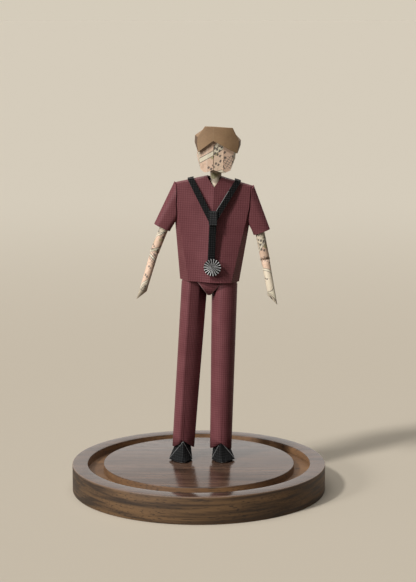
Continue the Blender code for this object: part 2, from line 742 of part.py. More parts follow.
def body_sides(side, clearance, frame):
    """The shirt's side above and below the chest as two planes that face outwards, in a piece's frame."""
    inverse = frame.inverted()
    chest = inverse @ Vector((side * (CHEST_HALF_WIDTH + clearance), 0, CHEST_HEIGHT))
    above = Vector((side * SHOULDER_RISE, 0, SHOULDER_INSET))
    below = Vector((side * CHEST_RISE, 0, HEM_HALF_WIDTH - CHEST_HALF_WIDTH))
    return [(chest, inverse.to_3x3() @ normal.normalized()) for normal in (above, below)]


def make_sleeve(side, shoulder, material):
    """A flattened tube, cut to the shirt's side from shoulder to chest to hem, and open at the cuff."""
    bm = bmesh.new()
    rings = []
    for height in (SLEEVE_WIDTH, -SLEEVE_LENGTH):
        rings.append(slot_ring(bm, -side * SLEEVE_WIDTH / 2, SLEEVE_WIDTH, SLEEVE_DEPTH, height))
    bridge(bm, rings, cap=False)
    cut_away(bm, body_sides(side, FIT, sleeve_frame(side)))
    thicken(piece(SIDE_NAMES[side] + "_sleeve", bm, material, shoulder, smooth=True))


def arm_frame(side, spread):
    """The upper arm's frame: its origin is on the arm's axis at the cuff."""
    cuff = sleeve_frame(side) @ Vector((-side * (SLEEVE_WIDTH / 2 + ARM_INSET), 0, -SLEEVE_LENGTH))
    return Matrix.Translation(cuff) @ Matrix.Rotation(-side * spread, 4, "Y")


def elbow_frame(side, arm, shown, spread):
    """The elbow crease, across the back of the arm, with the forearm along local -Z."""
    crease = arm @ Vector((0, ARM_RADIUS, -shown))
    turn = Matrix.Rotation(-side * spread, 4, "Y") @ Matrix.Rotation(-ELBOW_BEND, 4, "X")
    return Matrix.Translation(crease) @ turn


def make_upper_arm(side, arm, shown, shoulder, material):
    """A rolled arm, from inside the sleeve down to its wedge cut at the elbow."""
    bm = bmesh.new()
    rings = []
    for height in (ARM_TUCK, -shown - ARM_RADIUS):
        rings.append(ring(bm, Matrix.Translation((0, 0, height)), ARM_RADIUS))
    bridge(bm, rings, cap=True)
    side_point, outwards = body_sides(side, 2 * FIT, arm)[0]
    trim(bm, side_point, -outwards, cap=True)
    crease = Vector((0, ARM_RADIUS, -shown + FIT / 2))
    trim(bm, crease, Vector((0, -math.sin(ELBOW_CUT), -math.cos(ELBOW_CUT))), cap=True)
    frame = sleeve_frame(side).inverted() @ arm
    piece(SIDE_NAMES[side] + "_upper_arm", bm, material, shoulder, frame, smooth=True)


def make_forearm(side, length, elbow, material):
    """A tapered forearm whose end is pinched along a slant into a pointed hand."""
    bm = bmesh.new()
    axis = Matrix.Translation((0, -ARM_RADIUS, 0))
    inner_end = Vector((-side * WRIST_RADIUS, 0, -length))
    tip = Vector((side * WRIST_RADIUS, 0, -length - HAND_LENGTH))
    pinch = inner_end - tip
    slant = Matrix.Rotation(math.atan2(-pinch.z, pinch.x), 4, "Y")
    palm = Matrix.Translation((inner_end + tip) / 2) @ slant
    rings = [
        ring(bm, axis @ Matrix.Translation((0, 0, ARM_RADIUS)), ARM_RADIUS),
        ring(bm, axis @ Matrix.Translation((0, 0, WRIST_RADIUS - length)), WRIST_RADIUS),
        ring(bm, axis @ palm, pinch.length / 2, HAND_THICKNESS / 2),
    ]
    bridge(bm, rings, cap=True)
    crease = Vector((0, 0, -FIT / 2))
    trim(bm, crease, Vector((0, -math.sin(ELBOW_CUT), math.cos(ELBOW_CUT))), cap=True)
    piece(SIDE_NAMES[side] + "_forearm", bm, material, elbow, smooth=True)


def make_arm(side, spread, shown, forearm_spread, forearm_length, figure, cloth, skin):
    """One arm: the sleeve and upper arm turn at the shoulder, the forearm at the elbow."""
    shoulder_frame = sleeve_frame(side)
    arm = arm_frame(side, spread)
    bend = elbow_frame(side, arm, shown, forearm_spread)
    shoulder = pivot(SIDE_NAMES[side] + "_shoulder", shoulder_frame, figure)
    elbow = pivot(SIDE_NAMES[side] + "_elbow", shoulder_frame.inverted() @ bend, shoulder)
    make_sleeve(side, shoulder, cloth)
    make_upper_arm(side, arm, shown, shoulder, skin)
    make_forearm(side, forearm_length, elbow, skin)


def shoulder_slope():
    """How fast the shoulder ridge falls away from the neck."""
    return (SHOULDER_HEIGHT - NECKLINE_HEIGHT) / (SHOULDER_HALF_WIDTH - NECKLINE_HALF_WIDTH)


def strap_edge():
    """Height of the shirt's front and back edges under the straps."""
    return NECKLINE_HEIGHT + shoulder_slope() * (STRAP_SHOULDER - NECKLINE_HALF_WIDTH) - SHOULDER_DROP


def make_strap(side, figure, material):
    """A strip from behind the shoulder, over it and down in front to the join at the chest."""
    x = STRAP_SHOULDER
    edge = strap_edge()
    fall = shoulder_slope()
    tail_height = edge - STRAP_TAIL
    across_front = Vector((1, math.tan(FRONT_ROOF), fall))
    across_back = Vector((1, -math.tan(BACK_ROOF), fall))
    tail = Vector((x, back_y(x, tail_height) + STRAP_LIFT, tail_height))
    over_back = Vector((x, back_y(x, edge) + STRAP_LIFT, edge + STRAP_LIFT))
    ridge = Vector((x, 0, edge + SHOULDER_DROP + STRAP_LIFT))
    over_front = Vector((x, front_y(x, edge) - STRAP_LIFT, edge + STRAP_LIFT))
    join = Vector((0, -STRAP_FRONT, JOIN_HEIGHT - STRAP_WIDTH))
    run = join - over_front
    across_run = Vector((0, -1, 0)).cross(run)
    stations = [
        (tail, across_back),
        (over_back, across_back),
        (ridge, Vector((1, 0, fall))),
        (over_front, across_front),
        (over_front + run.normalized() * STRAP_TWIST, across_run),
        (join, across_run),
    ]
    bm = bmesh.new()
    ribbon(bm, stations, STRAP_WIDTH)
    trim(bm, Vector((PAPER + FIT, 0, 0)), Vector((-1, 0, 0)), cap=False)
    if side == RIGHT:
        bmesh.ops.scale(bm, vec=(-1, 1, 1), verts=bm.verts)
    thicken(piece("stethoscope_" + SIDE_NAMES[side] + "_strap", bm, material, figure), offset=0)


def make_neck_strap(figure, material):
    """The strip across the shirt's back that joins the two straps below their tails."""
    tail_drop = STRAP_TAIL - shoulder_slope() * STRAP_WIDTH / 2
    height = strap_edge() - tail_drop - FIT - STRAP_WIDTH / 2
    reach = STRAP_SHOULDER + STRAP_WIDTH / 2
    stations = []
    for x in (-reach, 0, reach):
        point = Vector((x, back_y(abs(x), height) + STRAP_LIFT, height))
        stations.append((point, Vector((0, -math.tan(BACK_RAKE), 1))))
    bm = bmesh.new()
    ribbon(bm, stations, STRAP_WIDTH)
    thicken(piece("stethoscope_neck_strap", bm, material, figure), offset=0)


def make_clasp(figure, material):
    """The folded tab over the join of the straps."""
    bm = bmesh.new()
    size = Matrix.Diagonal((CLASP_WIDTH, CLASP_THICKNESS, CLASP_HEIGHT, 1))
    bmesh.ops.create_cube(bm, size=1, matrix=size)
    bmesh.ops.bevel(bm, geom=bm.edges[:], offset=CLASP_EDGE, affect="EDGES", segments=1, profile=0.5,
                    material=-1)
    middle = Vector((CLASP_X, -CLASP_BACK - CLASP_THICKNESS / 2, CLASP_TOP - CLASP_HEIGHT / 2))
    piece("stethoscope_clasp", bm, material, figure, Matrix.Translation(middle))


def make_drop(swing, material):
    """The strip that hangs from the clasp, with the pleated rosette on its end."""
    bm = bmesh.new()
    across = Vector((1, 0, 0))
    ribbon(bm, [(Vector((0, 0, -FIT)), across), (Vector((0, 0, -DROP_LENGTH)), across)], STRAP_WIDTH)
    thicken(piece("stethoscope_drop_strip", bm, material, swing), offset=0)

    bm = bmesh.new()
    eye, rim = [], []
    for index in range(2 * ROSETTE_PLEATS):
        angle = math.tau * index / (2 * ROSETTE_PLEATS)
        fold = PLEAT_DEPTH if index % 2 else -PLEAT_DEPTH
        ray = Vector((math.cos(angle), 0, math.sin(angle)))
        eye.append(bm.verts.new(ray * ROSETTE_EYE))
        rim.append(bm.verts.new(ray * ROSETTE_RADIUS + Vector((0, fold, 0))))
    bm.faces.new(eye)
    for index in range(len(rim)):
        bm.faces.new((eye[index - 1], rim[index - 1], rim[index], eye[index]))
    place = Matrix.Translation((ROSETTE_X - CLASP_X, DROP_DEPTH - ROSETTE_DEPTH, -DROP_LENGTH))
    rosette = piece("stethoscope_rosette", bm, material, swing, place)
    thicken(rosette, PLEAT_PAPER, offset=0)


def build():
    clear_scene()
    walnut = finish("walnut", (0.20, 0.11, 0.06), 0.4)
    maroon = finish("maroon paper", (0.16, 0.05, 0.05), 0.75)
    chart = finish("map paper", (0.70, 0.55, 0.38), 0.7)
    brown = finish("brown paper", (0.30, 0.17, 0.09), 0.75)
    black = finish("black paper", (0.015, 0.015, 0.016), 0.6)
    card = finish("card", (0.62, 0.55, 0.43), 0.8)
    bamboo = finish("bamboo", (0.60, 0.45, 0.25), 0.6)

    figure = pivot("figure", figure_frame())
    stand = make_stand(walnut)
    bores = []
    for side in (LEFT, RIGHT):
        bore = make_rod(side, figure, bamboo)
        bores.append(bore)
        cut(stand, bore)
        make_leg(side, figure, maroon)
        make_shoe(side, bore, black)
    make_seat_panel("seat_front_panel", -SEAT_DEPTH, figure, maroon)
    make_seat_panel("seat_back_panel", SEAT_DEPTH, figure, maroon)
    make_body_block(figure, bores, card)
    make_shirt(figure, maroon)

    make_neck(figure, chart)
    jaw = Matrix.Translation((NECK_X, 0, JAW_HEIGHT))
    head = pivot("head_turn", jaw, figure)
    make_head_block(head, card)
    make_face(head, chart)
    make_hair(head, brown)

    make_arm(LEFT, LEFT_ARM_SPREAD, LEFT_ARM_SHOWN, LEFT_FOREARM_SPREAD, LEFT_FOREARM_LENGTH,
             figure, maroon, chart)
    make_arm(RIGHT, RIGHT_ARM_SPREAD, RIGHT_ARM_SHOWN, RIGHT_FOREARM_SPREAD, RIGHT_FOREARM_LENGTH,
             figure, maroon, chart)

    make_strap(LEFT, figure, black)
    make_strap(RIGHT, figure, black)
    make_neck_strap(figure, black)
    make_clasp(figure, black)
    hinge = Matrix.Translation((CLASP_X, -DROP_DEPTH, CLASP_BOTTOM))
    make_drop(pivot("stethoscope_swing", hinge, figure), black)


build()
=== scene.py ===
# %% [markdown]
# # A folded-paper figure on a walnut stand
#
# The figure is folded from stiff decorative paper: maroon linen-embossed card for the shirt and
# trousers, printed map paper for the skin, brown paper for the hair and black paper for the shoes
# and the stethoscope. It stands on a turned walnut disc with a ring groove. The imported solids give
# every place and every joint, and this lesson dresses them.

import json
import math

import bmesh
import bpy
from mathutils import Matrix, Vector, noise
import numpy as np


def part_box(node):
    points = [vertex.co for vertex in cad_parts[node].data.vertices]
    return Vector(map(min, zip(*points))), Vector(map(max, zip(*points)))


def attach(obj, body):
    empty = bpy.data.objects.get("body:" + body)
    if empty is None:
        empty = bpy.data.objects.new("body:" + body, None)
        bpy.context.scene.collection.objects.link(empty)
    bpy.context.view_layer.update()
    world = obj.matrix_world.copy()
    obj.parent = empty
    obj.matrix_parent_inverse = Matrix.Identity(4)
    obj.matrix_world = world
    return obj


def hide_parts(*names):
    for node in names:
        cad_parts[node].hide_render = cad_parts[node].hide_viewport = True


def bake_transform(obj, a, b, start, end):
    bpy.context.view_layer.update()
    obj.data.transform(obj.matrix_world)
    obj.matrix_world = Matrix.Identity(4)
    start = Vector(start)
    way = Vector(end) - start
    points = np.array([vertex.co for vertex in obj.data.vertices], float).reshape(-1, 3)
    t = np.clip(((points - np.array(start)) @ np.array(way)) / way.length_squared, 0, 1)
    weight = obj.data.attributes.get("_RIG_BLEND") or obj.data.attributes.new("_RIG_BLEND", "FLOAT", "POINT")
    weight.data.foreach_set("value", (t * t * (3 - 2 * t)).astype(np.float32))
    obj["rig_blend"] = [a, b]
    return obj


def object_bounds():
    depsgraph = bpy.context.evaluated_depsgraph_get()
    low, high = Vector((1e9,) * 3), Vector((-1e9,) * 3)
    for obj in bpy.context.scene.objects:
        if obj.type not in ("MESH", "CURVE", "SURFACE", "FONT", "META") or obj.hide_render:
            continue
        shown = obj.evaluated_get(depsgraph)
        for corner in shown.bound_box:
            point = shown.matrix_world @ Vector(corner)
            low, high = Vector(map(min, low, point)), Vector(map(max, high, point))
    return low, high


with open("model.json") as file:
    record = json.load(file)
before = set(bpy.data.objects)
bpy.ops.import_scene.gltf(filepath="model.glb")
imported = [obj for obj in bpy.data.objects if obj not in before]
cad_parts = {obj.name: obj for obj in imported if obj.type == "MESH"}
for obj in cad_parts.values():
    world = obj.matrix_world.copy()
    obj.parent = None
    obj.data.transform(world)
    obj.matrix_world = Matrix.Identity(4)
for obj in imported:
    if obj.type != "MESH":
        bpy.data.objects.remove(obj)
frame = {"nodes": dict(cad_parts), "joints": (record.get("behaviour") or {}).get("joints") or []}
solid_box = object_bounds()
MM = 0.001
solid_size = [round(side / MM, 1) for side in solid_box[1] - solid_box[0]]
print("solids:", len(frame["nodes"]), "box in mm:", solid_size)

# %% [markdown]
# ## The figure's own upright
#
# The figure leans a little to its left. Shapes are easier to think about when they stand straight,
# so each piece is shaped in an upright frame and turned into place at the end. The neck's joint
# gives the lean, and the stand's top gives the floor of that frame.

# %% The upright frame
NECK_OFF_MIDDLE = 0.7 * MM
ASIDE, BACK, UP = Vector((1, 0, 0)), Vector((0, 1, 0)), Vector((0, 0, 1))

joints = {joint["name"]: joint for joint in frame["joints"]}
stand_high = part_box("stand")[1]
upright = Vector(joints["neck_turn"]["axis"]).normalized()
sideways = BACK.cross(upright).normalized()
neck_point = Vector(joints["neck_turn"]["pos_m"])
to_floor = upright * (neck_point.z - stand_high.z) / upright.z
figure = Matrix((sideways, BACK, upright)).transposed().to_4x4()
figure.translation = neck_point - to_floor - sideways * NECK_OFF_MIDDLE
to_figure = figure.inverted()
print("lean in degrees:", round(math.degrees(upright.angle(UP)), 2))

# %% [markdown]
# ## Sums with shader values
#
# A procedural finish is mostly arithmetic on coordinates. Wiring Math nodes by hand hides the
# formula, so one small class wraps a socket: adding or multiplying two wrapped sockets adds the
# Math node that does it, and every other node comes from one method.


# %% A shader value that can be used in sums
class Wire:
    def __init__(self, tree, socket=None):
        self.tree = tree
        self.socket = socket

    def plug(self, node, sockets):
        """Link each wire to its socket of a node, and set any other value on it."""
        for name, value in sockets.items():
            if isinstance(value, Wire):
                self.tree.links.new(value.socket, node.inputs[name])
            else:
                node.inputs[name].default_value = value

    def node(self, kind, settings, sockets, output=0):
        """Add a node with its settings and its sockets, and give one of its outputs."""
        made = self.tree.nodes.new(kind)
        for name, value in settings.items():
            setattr(made, name, value)
        self.plug(made, sockets)
        return Wire(self.tree, made.outputs[output])

    def other(self, output):
        """Another output of the node that made this value."""
        return Wire(self.tree, self.socket.node.outputs[output])

    def math(self, operation, *others):
        values = dict(enumerate((self, *others)))
        return self.node("ShaderNodeMath", {"operation": operation}, values)

    def vector(self, operation, *others):
        values = dict(enumerate((self, *others)))
        return self.node("ShaderNodeVectorMath", {"operation": operation}, values)

    def __add__(self, other):
        return self.math("ADD", other)

    def __sub__(self, other):
        return self.math("SUBTRACT", other)

    def __rsub__(self, other):
        return self.math("MULTIPLY_ADD", -1, other)

    def __mul__(self, other):
        return self.math("MULTIPLY", other)

    __radd__, __rmul__ = __add__, __mul__

    def split(self):
        """The three numbers of a vector."""
        x = self.node("ShaderNodeSeparateXYZ", {}, {"Vector": self})
        return x, x.other("Y"), x.other("Z")

    def stretch(self, x, y, z=1):
        return self.vector("MULTIPLY", (x, y, z))

    def clamped(self):
        return self.math("MINIMUM", 1).math("MAXIMUM", 0)

    def step(self, low, high):
        """A soft step from 0 at low to 1 at high."""
        edges = {"Value": self, "From Min": low, "From Max": high}
        return self.node("ShaderNodeMapRange", {"interpolation_type": "SMOOTHSTEP"}, edges)

    def mix(self, low, high):
        """One colour where this is 0 and another where it is 1, in a Mix node's colour sockets."""
        return self.node("ShaderNodeMix", {"data_type": "RGBA"}, {0: self, 6: low, 7: high}, 2)

    def cloud(self, scale, detail=2):
        """Soft noise, about 0 to 1, at these coordinates."""
        sockets = {"Vector": self, "Scale": scale, "Detail": detail}
        return self.node("ShaderNodeTexNoise", {}, sockets)


print("shader values ready")

# %% [markdown]
# ## A finish from its colour, roughness and relief
#
# Each finish is one Principled surface. What varies over the paper goes to the base colour, the
# roughness and a Bump node, which are the things that a baked copy keeps. Paper is painted in its
# own flat coordinates, so that a pattern follows the sheet round every fold.


# %% One surface from three values
def finish(name, make, gloss=0.5):
    """A material whose colour, roughness and relief come from a function of wires."""
    material = bpy.data.materials.new(name)
    material.use_nodes = True
    tree = material.node_tree
    start = Wire(tree)
    colour, roughness, height, depth = make(start)
    surface = {"Base Color": colour, "Roughness": roughness, "Specular IOR Level": gloss}
    if height:
        bump = {"Strength": 1.0, "Distance": depth, "Height": height}
        surface["Normal"] = start.node("ShaderNodeBump", {}, bump)
    start.plug(tree.nodes["Principled BSDF"], surface)
    print("finish:", name, len(tree.nodes), "nodes")
    return material


def paper_place(start):
    """Coordinates on the flat paper, in millimetres."""
    return start.node("ShaderNodeUVMap", {"uv_map": "paper"}, {})


def worn_fold(start):
    """1 on a worn fold, and 0 on the rest of the paper."""
    return start.node("ShaderNodeAttribute", {"attribute_name": "fold"}, {}, "Fac")


def rgb(red, green, blue):
    return (red, green, blue, 1)


# %% [markdown]
# ## Maroon linen card
#
# The shirt and trousers are card embossed like linen: fine raised threads run both ways, each of
# uneven strength, and the raised threads catch more light. Two sine waves in the paper's own
# coordinates make the threads, and stretched noise makes some of them stand out.

# %% The linen card
THREAD_PITCH, THREAD_DRIFT = 1.3, 3.0
DRIFT_ALONG, DRIFT_ACROSS = 0.04, 0.3
STRENGTH_ALONG, STRENGTH_ACROSS = 0.22, 0.35
CARD_DARK, CARD_PALE = rgb(0.103, 0.027, 0.031), rgb(0.257, 0.092, 0.099)
CARD_WORN = rgb(0.34, 0.165, 0.16)


def threads(place):
    """Raised threads that run both ways, each of uneven strength."""
    across, along, _ = place.split()
    turn = math.tau / THREAD_PITCH
    warp_drift = place.stretch(DRIFT_ACROSS, DRIFT_ALONG).cloud(1.0) * THREAD_DRIFT
    weft_drift = place.stretch(DRIFT_ALONG, DRIFT_ACROSS).cloud(1.0) * THREAD_DRIFT
    warp_strength = place.stretch(STRENGTH_ACROSS, STRENGTH_ALONG).cloud(1.0)
    weft_strength = place.stretch(STRENGTH_ALONG, STRENGTH_ACROSS).cloud(1.0)
    warp = (across * turn + warp_drift).math("SINE") * warp_strength
    weft = (along * turn + weft_drift).math("SINE") * weft_strength
    return warp + weft


def linen_card(start):
    place = paper_place(start)
    weave = threads(place)
    mottle = place.cloud(0.09, 3)
    card = (weave * 0.24 + mottle * 0.55 + 0.22).clamped().mix(CARD_DARK, CARD_PALE)
    colour = (worn_fold(start) * 0.35).mix(card, CARD_WORN)
    return colour, 0.50 - weave * 0.06, weave, 0.04 * MM


MAROON = finish("maroon linen card", linen_card, 0.14)

# %% [markdown]
# ## Printed map paper
#
# The skin is cut from an old road map. A generic one is enough: cream and peach fields, a few olive
# woods and contour lines lie under cased roads, straight main roads, thin lanes, street nets and
# small dark blocks of houses. The fields are the cells of a Voronoi pattern and the roads run
# between them. Nothing on it can be read.

# %% The fields and woods of the map
FIELDS, WANDER, CONTOURS = 0.05, 5, 9
CREAM, PEACH = rgb(0.85, 0.73, 0.545), rgb(0.86, 0.63, 0.455)
DEEP_PEACH, OLIVE = rgb(0.84, 0.57, 0.41), rgb(0.37, 0.35, 0.15)
CONTOUR_INK = rgb(0.36, 0.22, 0.13)
PEACH_FIELDS, DEEP_FIELDS, WOODS = (0.38, 0.42), (0.66, 0.70), (0.61, 0.65)
CONTOUR_LINE = (0.06, 0.02)
CELLS = {"feature": "F1", "voronoi_dimensions": "2D"}


def wander(place):
    """The same coordinates, bent so that no field has a straight side."""
    bend = place.cloud(0.09, 1) * WANDER
    shift = place.node("ShaderNodeCombineXYZ", {}, {"X": bend, "Y": WANDER - bend})
    return place.vector("ADD", shift)


def map_fields(place, bent):
    """Cream and peach fields, olive woods and contour lines."""
    field = {"Vector": bent, "Scale": FIELDS}
    drawn = place.node("ShaderNodeTexVoronoi", CELLS, field, "Color")
    chance = place.node("ShaderNodeSeparateColor", {}, {"Color": drawn})
    land = chance.step(*PEACH_FIELDS).mix(CREAM, PEACH)
    land = (chance.other("Green").step(*DEEP_FIELDS) * 0.7).mix(land, DEEP_PEACH)
    land = (bent.cloud(0.085, 3).step(*WOODS) * 0.85).mix(land, OLIVE)
    level = place.cloud(0.06, 2) * CONTOURS
    contour = (level.math("FRACT") - 0.5).math("ABSOLUTE").step(*CONTOUR_LINE)
    return (contour * 0.30).mix(land, CONTOUR_INK)


print("fields about", round(1 / FIELDS), "mm wide")

# %% The roads of the map
LANES = 0.16
MAIN_ROAD_TURN, MAIN_ROAD_APART = math.radians(32), 34
ROAD_EDGE, ROAD_BED = (0.047, 0.038), (0.030, 0.023)
MAIN_EDGE, MAIN_BED = (1.5, 1.4), (1.1, 1.0)
LANE_LINE, LANE_AREA = (0.030, 0.016), (0.55, 0.61)
ROAD_INK, ROAD_CREAM = rgb(0.10, 0.08, 0.07), rgb(0.87, 0.78, 0.59)
MAIN_INK, MAIN_CREAM = rgb(0.11, 0.09, 0.08), rgb(0.87, 0.78, 0.58)
LANE_INK = rgb(0.13, 0.10, 0.09)
BORDERS = {"feature": "DISTANCE_TO_EDGE", "voronoi_dimensions": "2D"}


def map_roads(place, bent, land):
    """Cased roads between the fields, straight main roads and thin lanes."""
    road = place.node("ShaderNodeTexVoronoi", BORDERS, {"Vector": bent, "Scale": FIELDS})
    land = (road.step(*ROAD_EDGE) * 0.8).mix(land, ROAD_INK)
    land = road.step(*ROAD_BED).mix(land, ROAD_CREAM)
    across, along, _ = place.split()
    aside = along * math.cos(MAIN_ROAD_TURN) - across * math.sin(MAIN_ROAD_TURN)
    share = (aside * (1 / MAIN_ROAD_APART)).math("FRACT")
    main = (share - 0.5).math("ABSOLUTE") * MAIN_ROAD_APART
    land = (main.step(*MAIN_EDGE) * 0.85).mix(land, MAIN_INK)
    land = main.step(*MAIN_BED).mix(land, MAIN_CREAM)
    lane = place.node("ShaderNodeTexVoronoi", BORDERS, {"Vector": bent, "Scale": LANES})
    area = place.cloud(0.07, 1).step(*LANE_AREA)
    return (lane.step(*LANE_LINE) * area * 0.7).mix(land, LANE_INK)


print("main roads", MAIN_ROAD_APART, "mm apart")

# %% The towns of the map, and the whole sheet
TOWN_TURN = 0.45
STREET_TILE, STREET_LINE, TOWN_AREA = (0.62, 0.8), (0.36, 0.43), (0.60, 0.63)
HOUSE_TILE, HOUSE_CHANCE, VILLAGE_AREA = (0.60, 0.40), (0.46, 0.48), (0.53, 0.57)
HOUSE_WIDTH, HOUSE_LENGTH = (0.40, 0.26), (0.34, 0.22)
STREET_INK, HOUSE_INK = rgb(0.10, 0.09, 0.09), rgb(0.055, 0.05, 0.05)
MAP_AGED, MAP_WORN = rgb(0.66, 0.50, 0.34), rgb(0.90, 0.83, 0.70)


def off_middle(tiles):
    """How far a point is from the middle of its tile, across and along."""
    across, along, _ = tiles.vector("FRACTION").split()
    return (across - 0.5).math("ABSOLUTE"), (along - 0.5).math("ABSOLUTE")


def map_towns(place, bent, land):
    """Nets of streets, and small dark houses that are drawn or left out by chance."""
    rotation = {"Vector": place, "Rotation": (0, 0, TOWN_TURN)}
    turned = place.node("ShaderNodeMapping", {}, rotation)
    across, along = off_middle(turned.stretch(*STREET_TILE))
    street = across.math("MAXIMUM", along).step(*STREET_LINE)
    town = place.cloud(0.075, 1).step(*TOWN_AREA)
    land = (street * town * 0.8).mix(land, STREET_INK)
    plots = turned.stretch(*HOUSE_TILE)
    plot = {"Vector": plots.vector("FLOOR")}
    chance = place.node("ShaderNodeTexWhiteNoise", {"noise_dimensions": "2D"}, plot)
    across, along = off_middle(plots)
    house = across.step(*HOUSE_WIDTH) * along.step(*HOUSE_LENGTH) * chance.step(*HOUSE_CHANCE)
    village = bent.cloud(0.12, 1).step(*VILLAGE_AREA)
    return (house * village * 0.9).mix(land, HOUSE_INK)


def map_paper(start):
    place = paper_place(start)
    bent = wander(place)
    land = map_fields(place, bent)
    land = map_roads(place, bent, land)
    land = map_towns(place, bent, land)
    fibre = place.cloud(2.2, 3)
    aged = (fibre * 0.14).mix(land, MAP_AGED)
    colour = (worn_fold(start) * 0.3).mix(aged, MAP_WORN)
    return colour, 0.5 + fibre * 0.16, fibre, 0.02 * MM


MAP = finish("printed map paper", map_paper)

# %% [markdown]
# ## Brown, black and their cut edges
#
# The hair is kraft-brown paper with visible fibres. Its faces that look straight out to the sides of
# the head are painted a darker brown, as painted shade. The shoes and the stethoscope are black paper
# with the same embossed threads as the card and a faint tooth. Where paper is folded hard, its colour
# cracks and lightens: the folds are marked on the mesh when they are rounded. Where it is cut, its
# core shows as a paler line.

# %% Brown paper
BROWN_DARK, BROWN_PALE = rgb(0.205, 0.116, 0.056), rgb(0.42, 0.260, 0.132)
# The darker brown for the hair's sides is painted shade.
SHADE_BROWN_DARK, SHADE_BROWN_PALE = rgb(0.070, 0.036, 0.016), rgb(0.19, 0.105, 0.050)
BROWN_WORN = rgb(0.56, 0.41, 0.26)


def brown_fibre(place):
    return place.stretch(0.5, 1.6).cloud(1.3, 4)


def brown_paper(start):
    place = paper_place(start)
    fibre = brown_fibre(place)
    mottle = place.cloud(0.12, 3)
    sheet = (fibre * 0.65 + mottle * 0.7 - 0.18).clamped().mix(BROWN_DARK, BROWN_PALE)
    colour = (worn_fold(start) * 0.08).mix(sheet, BROWN_WORN)
    return colour, 0.56 + fibre * 0.18, fibre, 0.03 * MM


# Painted shade: a darker brown for the hair's faces that look straight to the sides.
def brown_painted_shade(start):
    fibre = brown_fibre(paper_place(start))
    return fibre.mix(SHADE_BROWN_DARK, SHADE_BROWN_PALE), 0.6 + fibre * 0.2, fibre, 0.03 * MM


BROWN = finish("brown paper", brown_paper)
BROWN_PAINTED_SHADE = finish("brown paper, painted shade", brown_painted_shade)


# %% Black paper
def black_paper(dark, pale, worn, share, narrow):
    """Black paper whose folds wear to a paler colour, by a share, in lines that can be narrow."""
    def sheet(start):
        place = paper_place(start)
        tooth = place.cloud(2.0, 3)
        raised = threads(place) * 0.5 + tooth
        dye = raised.step(0.3, 1.0).mix(rgb(dark, dark, dark), rgb(pale, pale, pale))
        colour = (worn_fold(start).math("POWER", narrow) * share).mix(dye, worn)
        return colour, 0.50 + tooth * 0.25, raised, 0.05 * MM

    return sheet


STRAP_WORN, TAB_WORN = rgb(0.10, 0.10, 0.098), rgb(0.14, 0.14, 0.137)
PLEAT_WEAR_AND_HIGHLIGHT = rgb(0.85, 0.84, 0.81)
BLACK = finish("black paper", black_paper(0.005, 0.026, STRAP_WORN, 0.4, 2), 0.07)
WRAPPED = finish("wrapped black paper", black_paper(0.014, 0.056, TAB_WORN, 0.4, 2), 0.07)
# The rosette's pale ridge colour is wear and a painted highlight where the ridges catch the light.
PLEATED = finish("pleated black paper", black_paper(0.001, 0.008, PLEAT_WEAR_AND_HIGHLIGHT, 1.0, 2.6), 0.05)


# %% The cut edges
def cut_edge(name, dark, pale):
    def core(start):
        fibre = paper_place(start).cloud(1.8, 3)
        return fibre.mix(dark, pale), 0.75 + fibre * 0.15, fibre, 0.02 * MM

    return finish(name, core)


MAROON_EDGE = cut_edge("maroon cut edge", rgb(0.16, 0.07, 0.07), rgb(0.38, 0.22, 0.21))
MAP_EDGE = cut_edge("map cut edge", rgb(0.52, 0.42, 0.31), rgb(0.82, 0.75, 0.63))
BROWN_EDGE = cut_edge("brown cut edge", rgb(0.34, 0.22, 0.13), rgb(0.58, 0.43, 0.29))
BLACK_EDGE = cut_edge("black cut edge", rgb(0.12, 0.12, 0.12), rgb(0.46, 0.45, 0.43))

# %% [markdown]
# ## Walnut, card and bamboo
#
# The stand is one disc turned from a walnut board with its grain running from side to side. Growth
# rings are distances from a pith far below the board, bent by noise, so the top shows long lines
# and the rim shows streaks, as a real disc does. Short dark pores run along the grain. The top is
# painted darker than the rim and the groove, as painted shade, and the left end of the rim is painted
# darker too, as painted shade. The top's satin finish mirrors the figure's legs softly. Card and
# bamboo are inside the figure.

# %% The grain of the stand's wood
PITH_ASIDE, PITH_RISE = -46, -88
RINGS_PER_MM, RING_BEND = 0.13, 2.0


def solid_place(start):
    """Coordinates in the solid, in millimetres."""
    spot = start.node("ShaderNodeTexCoord", {}, {}, "Object")
    return spot.stretch(1 / MM, 1 / MM, 1 / MM)


def late_wood(spot, aside, rise):
    """The dark late wood of rings round the pith."""
    bend = spot.stretch(0.008, 0.03, 0.03).cloud(1.0, 2)
    aside, rise = aside - PITH_ASIDE, rise - PITH_RISE
    from_pith = (aside * aside + rise * rise).math("SQRT")
    ring = (from_pith * RINGS_PER_MM + bend * RING_BEND).math("FRACT")
    return ring.step(0.2, 0.9) * ring.step(1.0, 0.93)


print("growth rings about", round(1 / RINGS_PER_MM, 1), "mm apart")

# %% The wood of the stand
STAND_TOP, STAND_RADIUS = stand_high.z / MM, stand_high.x / MM
# The top's colours are darker than the rim's: painted shade.
SHADED_TOP_PALE, SHADED_TOP_DARK = rgb(0.145, 0.082, 0.053), rgb(0.036, 0.020, 0.014)
SIDE_WOOD_PALE, SIDE_WOOD_DARK = rgb(0.188, 0.102, 0.043), rgb(0.036, 0.019, 0.009)
GROOVE_WOOD, ARRIS_WOOD = rgb(0.25, 0.122, 0.048), rgb(0.30, 0.19, 0.12)
PORE_DARK = rgb(0.022, 0.013, 0.008)
# The last range is where the rim's left end is painted darker, as painted shade.
STREAK, PORE, LEFT_END_SHADE = (0.34, 0.68), (0.57, 0.66), (-36, -72)
OUTER_WALL, WITHIN_GROOVE = (66, 70), (67.5, 66.5)


